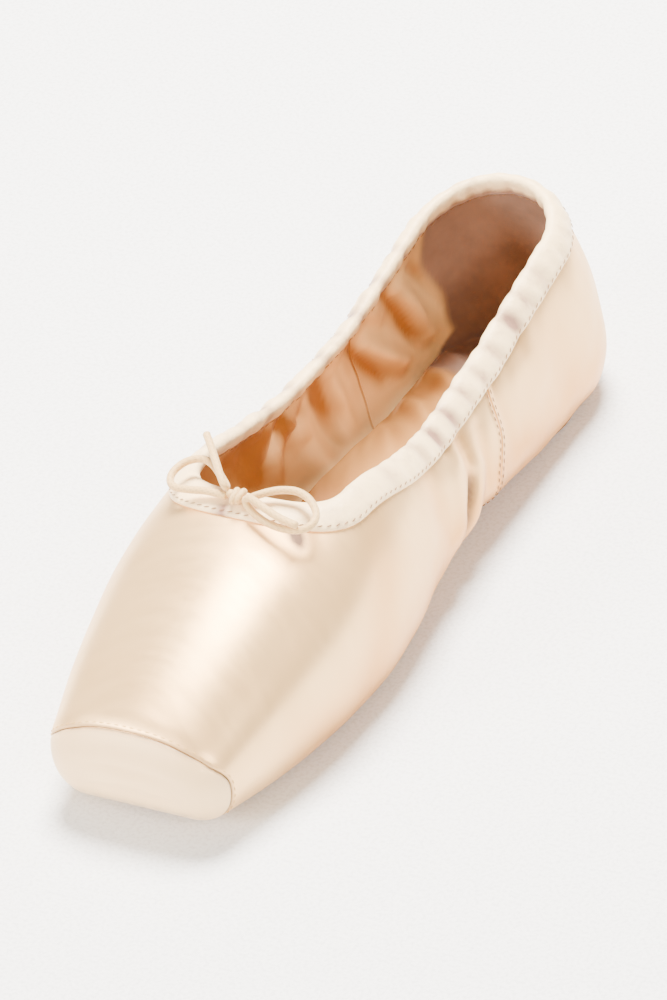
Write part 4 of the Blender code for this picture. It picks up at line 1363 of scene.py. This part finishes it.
class POINTESHOE_OT_drawstring(bpy.types.Operator):
    """Elastic drawstring: its knot, two loops and two ends."""

    bl_idname = "pointe_shoe.drawstring"
    bl_label = "Drawstring"

    def execute(self, context):
        s = sizes()
        knot, toeward, lift = bow_frame()
        braid = cord_finish()
        radius = s.cord_diameter / 2
        axes = np.array([(1, 0, 0), toeward, lift])
        wraps = []
        centre = np.array(knot + lift * 0.0027)
        for index, (lean, shift, size) in enumerate(((0.35, -0.75, 1.0), (-0.30, 0.85, 0.94))):
            turn = 2 * math.pi * np.arange(40) / 40
            local = np.stack([shift + 0.55 * np.sin(turn + lean),
                              1.75 * size * np.cos(turn) + lean * 0.4,
                              1.15 * size * np.sin(turn)], -1) * 0.001
            wraps.append(cord_tube(f"wrap_{index}", centre + local @ axes, radius * 0.88, 14, True))
        core = np.stack([np.linspace(-3.1, 3.1, 9), 0.5 * np.sin(np.linspace(-2, 2, 9)),
                         np.full(9, -0.1)], -1) * 0.001
        wraps.append(cord_tube("core", centre + core @ axes, radius * 1.05, 14))
        bead = join_and_merge("bow_knot", wraps, 1e-7)
        smooth(bead, 80)
        dress(bead, "drawstring_knot", [braid])
        for name, node, route in (("bow_right", "drawstring_right", BOW_RIGHT),
                                  ("bow_left", "drawstring_left", BOW_LEFT)):
            points = np.array(route) * 0.001 @ axes + np.array(knot)
            line = smooth_route(list(points), 110)
            cord = cord_tube(name, line, radius)
            smooth(cord, 60)
            dress(cord, node, [braid])
        return {"FINISHED"}


# Soles, insole and strip

class POINTESHOE_OT_front_sole(bpy.types.Operator):
    """Leather under the forefoot, let into the satin, with its grooves."""

    bl_idname = "pointe_shoe.front_sole"
    bl_label = "Front Sole"

    def execute(self, context):
        s = sizes()
        start = s.sole_start + s.sole_start_round * (1 - np.cos(np.linspace(0, math.pi / 2, 15)))
        end = s.sole_end - s.sole_end_round * (1 - np.cos(np.linspace(math.pi / 2, 0, 30)))
        between = np.arange(start[-1] + 0.0005, end[0], 0.0006)
        y = np.concatenate([start, between, end])
        across = np.sin(np.linspace(-math.pi / 2, math.pi / 2, 91))
        half = front_sole_half(y)
        x = half[:, None] * across[None, :]
        at = skin(line_u(y), 0.0)
        z = np.broadcast_to(at[:, 2:3], x.shape) - s.sole_proud
        yy = np.broadcast_to(y[:, None], x.shape)
        slant = yy * 1000 - 0.28 * x * 1000
        phase = (slant - 38.0) / (s.groove_pitch * 1000)
        band = ease((slant - 37.0) / 0.8) * ease((66.5 - slant) / 0.8)
        rim = ease((half[:, None] - np.abs(x)) / 0.0012 - 0.6)
        groove = grooves(phase, 0.30) * band * rim
        edge = 1 - np.clip((half[:, None] - np.abs(x)) / 0.0009, 0, 1)
        ends = 1 - np.clip(np.minimum(yy - s.sole_start, s.sole_end - yy) / 0.0009, 0, 1)
        cut = np.maximum(edge, ends) ** 2
        z = z + groove * s.groove_depth + 0.0005 * cut
        rows = to_frame(np.stack([x, yy, z], -1))
        sole = cloth_grid("leather_sole", rows)
        # Painted shade in the grooves, and darker towards the cut edge
        store(sole, "deep", np.clip(groove * 0.95 + 0.8 * cut, 0, 1))
        sole = join_and_merge("leather_sole", [sole], 1e-6)
        turn_faces(sole, upwards=False)
        apply_modifier(sole, "SOLIDIFY", thickness=s.sole_proud + s.box_wall * 0.6, offset=-1.0)
        smooth(sole, 35)
        dress(sole, "outsole_forefoot", [leather_finish("tan_leather", "sole")])
        return {"FINISHED"}


def skin_under(x, y):
    """u and v of the skin's bottom at places in plan, right side."""
    heel = heel_centre()
    behind = y > heel
    u = plan_u(x, y)
    reach = np.where(behind, np.hypot(x, y - heel), x)
    low = np.zeros(x.shape)
    high = np.full(x.shape, SIDE)
    for _ in range(30):
        v = (low + high) / 2
        point = skin(u, v)
        found = np.where(behind, np.hypot(point[..., 0], point[..., 1] - heel), point[..., 0])
        low = np.where(found < reach, v, low)
        high = np.where(found < reach, high, v)
    return u, (low + high) / 2


class POINTESHOE_OT_heel_patch(bpy.types.Operator):
    """Oval leather patch under the heel, with waved grooves."""

    bl_idname = "pointe_shoe.heel_patch"
    bl_label = "Heel Patch"

    def execute(self, context):
        s = sizes()
        middle = patch_middle()
        turn = np.linspace(0, math.pi, 161)
        y = middle - s.patch_length / 2 * np.cos(turn)
        half = s.patch_width / 2 * np.sin(turn)
        across = np.sin(np.linspace(-math.pi / 2, math.pi / 2, 135))
        x = half[:, None] * across[None, :]
        yy = np.broadcast_to(y[:, None], x.shape)
        u, v = skin_under(np.abs(x), yy)
        side = np.sign(x)
        at = skin(u, v)
        normal = outward(u, v)
        radial = np.hypot(x / (s.patch_width / 2), (yy - middle) / (s.patch_length / 2))
        edge = np.clip((radial - 0.955) / 0.045, 0, 1)
        mm_x, mm_y = x * 1000, (yy - middle) * 1000
        bulge = 6.5 * np.exp(-((mm_x + 1.5) / 8.0) ** 2) - 1.2 * np.sin(mm_x * 0.30)
        phase = (mm_y - bulge + 2.0) / (s.groove_pitch * 1000)
        band = ease((phase + 0.6) / 0.3) * ease((8.6 - phase) / 0.3) * ease((0.86 - radial) / 0.03)
        groove = grooves(phase, 0.32) * band
        out = s.clearance + s.patch_sheet - groove * s.groove_depth - 0.0006 * edge ** 2
        points = at + normal * out[..., None]
        points[..., 0] = np.where(side == 0, 0.0, np.abs(points[..., 0]) * side)
        patch = cloth_grid("leather_patch", to_frame(points))
        # Painted shade in the grooves, and darker towards the edge
        store(patch, "deep", np.clip(groove + 0.9 * edge ** 2, 0, 1))
        patch = join_and_merge("leather_patch", [patch], 1e-6)
        turn_faces(patch, upwards=False)
        apply_modifier(patch, "SOLIDIFY", thickness=s.patch_sheet, offset=-1.0)
        smooth(patch, 35)
        dress(patch, "outsole_heel", [leather_finish("pale_tan_leather", "patch")])
        return {"FINISHED"}


class POINTESHOE_OT_insole(bpy.types.Operator):
    """Insole inside the shoe."""

    bl_idname = "pointe_shoe.insole"
    bl_label = "Insole"

    def execute(self, context):
        s = sizes()
        rows = np.concatenate([[0.008], body_rows()[body_rows() > 0.0105]])
        u = np.concatenate([line_u(rows), fan_rows()])[:, None]
        v = np.linspace(0, 0.26, 40)[None, :]
        u, v = np.broadcast_arrays(u, v)
        at = skin(u, v)
        lift = wall(at[..., 1]) + s.clearance + s.insole_sheet
        around = outward(u, v)
        halves = []
        for side in (1, -1):
            flat = at - around * lift[..., None]
            raised = fold_height(mirrored(flat, side), side, FLOOR_FOLDS)
            grid = on_middle(mirrored(flat - around * raised[..., None], side))
            halves.append(cloth_grid("insole_board", to_frame(grid)))
        board = join_and_merge("insole_board", halves)
        turn_faces(board, upwards=True)
        apply_modifier(board, "SOLIDIFY", thickness=s.insole_sheet, offset=-1.0)
        shoe = to_shoe(vertex_array(board)) * 1000
        # Painted shade on the tipped sides of the insole's folds and towards the toe, with strokes
        # of painted light and shade
        tipped = 1 - np.abs(vertex_array(board, "normal")[:, 2])
        deep = (0.35 + 1.2 * tipped + toe_shade(shoe[:, 1])
                + painted(shoe / 1000, FLOOR_LIGHT_AND_SHADE))
        store(board, "deep", np.clip(deep, 0, 1))
        store(board, "seam", np.full(len(shoe), 0.01))
        store(board, "heel", ease((shoe[:, 1] - 200) / 6))
        smooth(board, 40)
        dress(board, "insole", [lining_finish("insole_lining", "insole")])
        return {"FINISHED"}


def v_below_collar(u, depth):
    """v at a distance down the wall from the collar's edge, for an array of u."""
    v = np.linspace(1, SIDE, 120)
    points = skin(u[:, None], v[None, :])
    return np.array([np.interp(depth, row, v) for row in run_length(points, 1)])


class POINTESHOE_OT_back_strip(bpy.types.Operator):
    """Satin strip sewn up the back of the heel."""

    bl_idname = "pointe_shoe.back_strip"
    bl_label = "Back Strip"

    def execute(self, context):
        s = sizes()
        u, v = strip_grid()
        edge = np.linspace(0, 1, u.shape[0])
        turned = 0.00035 * np.clip((0.10 - edge) / 0.10, 0, 1)[:, None] ** 2
        offset = np.broadcast_to(s.clearance + s.strip_sheet - turned, u.shape)
        halves = [sheet_on_skin("heel_strip_satin", u, v, offset, side) for side in (1, -1)]
        strip = join_and_merge("heel_strip_satin", halves)
        store(strip, "deep", np.zeros(len(strip.data.vertices)))
        store(strip, "seam", np.full(len(strip.data.vertices), 0.01))
        apply_modifier(strip, "SOLIDIFY", thickness=s.strip_sheet * 0.9, offset=-1.0)
        smooth(strip, 50)
        dress(strip, "heel_strip", [bpy.data.materials["peach_satin"]])
        return {"FINISHED"}


def strip_grid():
    """u and v of the back strip's right half."""
    s = sizes()
    start = 3 - s.strip_half / s.heel_radius / (math.pi / 2)
    u = np.linspace(start, 3, 11)
    top = v_below_collar(u, s.casing_outside + 2 * s.clearance)
    share = np.linspace(0, 1, 40)
    v = 0.32 + (top[:, None] - 0.32) * share[None, :]
    return np.broadcast_to(u[:, None], v.shape), v


# Stitches

def stitch_form():
    """Vertices and faces of one stitch, a unit long on its own X."""
    clear_selection()
    bpy.ops.mesh.primitive_uv_sphere_add(segments=8, ring_count=6, radius=0.5, location=(0, 0, 0))
    form = named("stitch_form")
    points = vertex_array(form)
    faces = [tuple(face.vertices) for face in form.data.polygons]
    bpy.data.objects.remove(form)
    return points, faces


def spaced(line, pitch):
    """Points every pitch along a line, with the way ahead."""
    reach = run_length(line)
    count = max(int(reach[-1] / pitch), 1)
    want = (np.arange(count) + 0.5) * reach[-1] / count
    behind, at, ahead = (
        np.stack([np.interp(want + step, reach, line[:, k]) for k in range(3)], -1)
        for step in (-1e-4, 0, 1e-4))
    return at, unit(ahead - behind)


def stitch_mesh(name, rows, material, length=None, thick=None, flat=0.75):
    """One joined mesh of stitches. rows holds (line, normals, pitch, turn)."""
    s = sizes()
    length = length or s.stitch
    thick = thick or s.stitch_round
    form, faces = stitch_form()
    points, polygons = [], []
    for line, normals, pitch, turn in rows:
        at, ahead = spaced(line, pitch)
        near = np.argmin(np.linalg.norm(line[None] - at[:, None], axis=-1), 1)
        up = normals[near]
        up = unit(up - ahead * np.sum(up * ahead, -1, keepdims=True))
        across = np.cross(up, ahead)
        if turn:
            ahead, across = (ahead * math.cos(turn) + across * math.sin(turn),
                             across * math.cos(turn) - ahead * math.sin(turn))
        for k in range(len(at)):
            local = form * (length, thick, thick * flat)
            first = len(points) * len(form)
            points.append(at[k] + local[:, :1] * ahead[k] + local[:, 1:2] * across[k]
                          + local[:, 2:] * up[k])
            polygons.extend(tuple(first + i for i in face) for face in faces)
    mesh = bpy.data.meshes.new(name)
    mesh.from_pydata(np.concatenate(points).tolist(), [], polygons)
    piece = bpy.data.objects.new(name, mesh)
    bpy.context.scene.collection.objects.link(piece)
    smooth(piece, 80)
    dress(piece, None, [material])
    return piece


def seam_line(u, v, side, offset):
    """Line of points on the folded satin, in the frame, with normals."""
    points, normal = dressed(u, v, side, offset)
    return to_frame(points), normal


def casing_line(side, inside):
    """Line of the casing's outer or inner row of stitches, in the frame, with normals."""
    s = sizes()
    edge, _, down = collar_frames()
    depth = (s.casing_inside if inside else s.casing_outside) - 0.0013
    u, v = nearest_skin(edge + down * depth)
    at, around = skin(u, v), outward(u, v)
    folded = satin_lift(mirrored(at, side), side)
    pinch = collar_pinch(edge, side)
    if inside:
        ripple = collar_ripple(run_length(edge), edge[:, 1], side)
        height = (0.4 * folded - wall(at[:, 1]) - s.casing_gap - 1.2 * s.casing_sheet
                  - 0.35 * (1.8 * ripple - pinch))
    else:
        height = s.casing_gap + 0.95 * s.casing_sheet + 0.8 * folded - 0.62 * pinch
    line = to_frame(mirrored(at + around * height[:, None], side))
    return line, mirrored(-around if inside else around, side)


def toe_rows():
    """The seam of the toe piece."""
    v = np.linspace(0.30, 1, 90)
    u = line_u(toe_seam(v) + 0.0009)
    pitch = sizes().stitch_pitch * 0.9
    return [(*seam_line(u, v, side, 0.00005), pitch, 0.0) for side in (1, -1)]


def casing_rows():
    """Both rows of the casing, outside and inside, slanting."""
    pitch = sizes().stitch_pitch
    return [(*casing_line(side, inside), pitch, 0.35)
            for side in (1, -1) for inside in (False, True)]


def side_rows():
    """Two rows beside each side seam, up to the casing."""
    s = sizes()
    top = v_below_collar(np.array([line_u(side_seam(1.0))]), s.casing_outside)[0]
    v = np.linspace(0.0, top, 120)
    return [(*seam_line(line_u(side_seam(v) + shift), v, side, 0.00022), s.stitch_pitch * 0.85, 0.0)
            for side in (1, -1) for shift in (-0.0012, 0.0012)]


def strip_rows():
    """One row inside each edge of the back strip."""
    s = sizes()
    u, v = (grid[2] for grid in strip_grid())
    offset = s.clearance + s.strip_sheet + 0.00006
    return [(*seam_line(u, v, side, offset), s.stitch_pitch * 0.9, 0.0) for side in (1, -1)]


def patch_rows():
    """A ring of holes inside the edge of the heel patch."""
    s = sizes()
    inset = 0.0034
    turn = np.linspace(0, 2 * math.pi, 240)
    x = (s.patch_width / 2 - inset) * np.sin(turn)
    y = patch_middle() - (s.patch_length / 2 - inset) * np.cos(turn)
    u, v = skin_under(np.abs(x), y)
    around = outward(u, v)
    at = skin(u, v) + around * (s.clearance + s.patch_sheet + 0.00001)
    sign = np.where(x < 0, -1.0, 1.0)
    at[:, 0] *= sign
    around[:, 0] *= sign
    return [(to_frame(at), around, 0.0028, 0.0)]


def arch_rows():
    """Cross stitches on both sides of the middle seam under the arch."""
    s = sizes()
    last = s.length - s.patch_inset - s.patch_length - 0.002
    y = np.linspace(s.sole_end + 0.003, last, 80)
    u, v = skin_under(np.full(len(y), 0.0017), y)
    return [(*seam_line(u, v, side, 0.0001), 0.0024, 1.25 * side) for side in (1, -1)]


class POINTESHOE_OT_stitches(bpy.types.Operator):
    """Stitching of the toe seam, casing, side seams, back strip, heel patch and arch."""

    bl_idname = "pointe_shoe.stitches"
    bl_label = "Stitches"

    def execute(self, context):
        long = sizes().stitch
        thread = plain_finish("thread", "thread", 0.55)
        pale = plain_finish("pale_thread", "cord", 0.55)
        dark = plain_finish("sole_thread", "sole_thread", 0.8)
        stitch_mesh("toe_seam_stitches", toe_rows(), pale, long * 0.8)
        stitch_mesh("casing_stitches", casing_rows(), thread)
        stitch_mesh("side_seam_stitches", side_rows(), thread, long * 0.85)
        stitch_mesh("strip_stitches", strip_rows(), thread, long * 0.85)
        stitch_mesh("patch_stitches", patch_rows(), dark, 0.0010, 0.0007, 0.25)
        stitch_mesh("arch_stitches", arch_rows(), pale, 0.0034, 0.00042)
        return {"FINISHED"}


# Stage

# Name, place, height aimed at, size and power of each softbox
SOFTBOXES = (
    ("key", (-0.12, 0.50, 1.40), 0.03, 0.70, 165.0),
    ("side", (1.00, -0.78, 0.84), 0.04, 0.50, 18.0),
    ("front", (-0.70, -1.35, 0.70), 0.03, 0.60, 52.0),
)
WARM = (1.0, 0.92, 0.82)


class POINTESHOE_OT_stage(bpy.types.Operator):
    """Pale floor, soft studio light and the camera at the photograph's angle."""

    bl_idname = "pointe_shoe.stage"
    bl_label = "Stage"

    def execute(self, context):
        clear_selection()
        bpy.ops.mesh.primitive_plane_add(size=6.0, location=(0, 0, -0.0003))
        floor = named("floor")
        floor.data.materials.append(plain_finish("floor", "floor", 0.9))
        world = bpy.data.worlds.new("studio")
        world.use_nodes = True
        glow = world.node_tree.nodes["Background"].inputs
        glow["Color"].default_value = (1.0, 0.95, 0.89, 1)
        glow["Strength"].default_value = 0.62
        context.scene.world = world
        for softbox in SOFTBOXES:
            self.softbox(*softbox)
        self.camera(context)
        return {"FINISHED"}

    @staticmethod
    def softbox(name, place, aimed, size, power):
        bpy.ops.object.light_add(type="AREA", location=place)
        light = bpy.context.object
        light.name = name
        light.data.name = name
        light.data.shape = "DISK"
        light.data.size = size
        light.data.energy = power
        light.data.color = WARM
        aim = Vector((0.0, 0.0, aimed)) - Vector(place)
        light.rotation_euler = aim.to_track_quat("-Z", "Y").to_euler()

    @staticmethod
    def camera(context):
        """Camera of the photograph, closer in so that the one shoe fills the frame."""
        turn, tilt, roll = (math.radians(a) for a in (34.62, 35.11, -9.61))
        away, scale = 2.121, 3.70
        target = Vector((0.0, 0.0, 0.025))
        level = math.cos(tilt)
        back = Vector((math.sin(turn) * level, -math.cos(turn) * level, math.sin(tilt)))
        right = Vector((0, 0, 1)).cross(back).normalized()
        up = back.cross(right)
        rolled_right = math.cos(roll) * right + math.sin(roll) * up
        rolled_up = -math.sin(roll) * right + math.cos(roll) * up
        axes = Matrix((rolled_right, rolled_up, back)).transposed()
        bpy.ops.object.camera_add(location=target + back * away, rotation=axes.to_euler())
        camera = bpy.context.object
        camera.name = "camera"
        camera.data.sensor_fit = "VERTICAL"
        camera.data.sensor_height = 36.0
        camera.data.lens = scale * away * camera.data.sensor_height
        camera.data.clip_end = 50.0
        camera.data.shift_x = -0.009
        context.scene.camera = camera


PIECES = (
    ("stage", POINTESHOE_OT_stage),
    ("drawstring", POINTESHOE_OT_drawstring),
    ("upper", POINTESHOE_OT_upper),
    ("toe_piece", POINTESHOE_OT_toe_piece),
    ("casing", POINTESHOE_OT_casing),
    ("front_sole", POINTESHOE_OT_front_sole),
    ("heel_patch", POINTESHOE_OT_heel_patch),
    ("insole", POINTESHOE_OT_insole),
    ("back_strip", POINTESHOE_OT_back_strip),
    ("stitches", POINTESHOE_OT_stitches),
)


class POINTESHOE_PT_panel(bpy.types.Panel):
    """Lists the shoe's sizes, colours and pieces."""

    bl_idname = "POINTESHOE_PT_panel"
    bl_label = "Pointe Shoe"
    bl_space_type = "VIEW_3D"
    bl_region_type = "UI"
    bl_category = "Pointe Shoe"

    def draw(self, context):
        for _, operator in PIECES:
            self.layout.operator(operator.bl_idname)
        for group in (context.scene.pointe_sizes, context.scene.pointe_colours):
            column = self.layout.column(align=True)
            for name in group.__annotations__:
                column.prop(group, name)


CLASSES = (PointeShoeSizes, PointeShoeColours, *(made for _, made in PIECES), POINTESHOE_PT_panel)


def register():
    for made in CLASSES:
        bpy.utils.register_class(made)
    bpy.types.Scene.pointe_sizes = bpy.props.PointerProperty(type=PointeShoeSizes)
    bpy.types.Scene.pointe_colours = bpy.props.PointerProperty(type=PointeShoeColours)


def unregister():
    del bpy.types.Scene.pointe_colours
    del bpy.types.Scene.pointe_sizes
    for made in reversed(CLASSES):
        bpy.utils.unregister_class(made)


def main():
    register()
    for name, _ in PIECES:
        getattr(bpy.ops.pointe_shoe, name)()


if __name__ == "__main__":
    main()
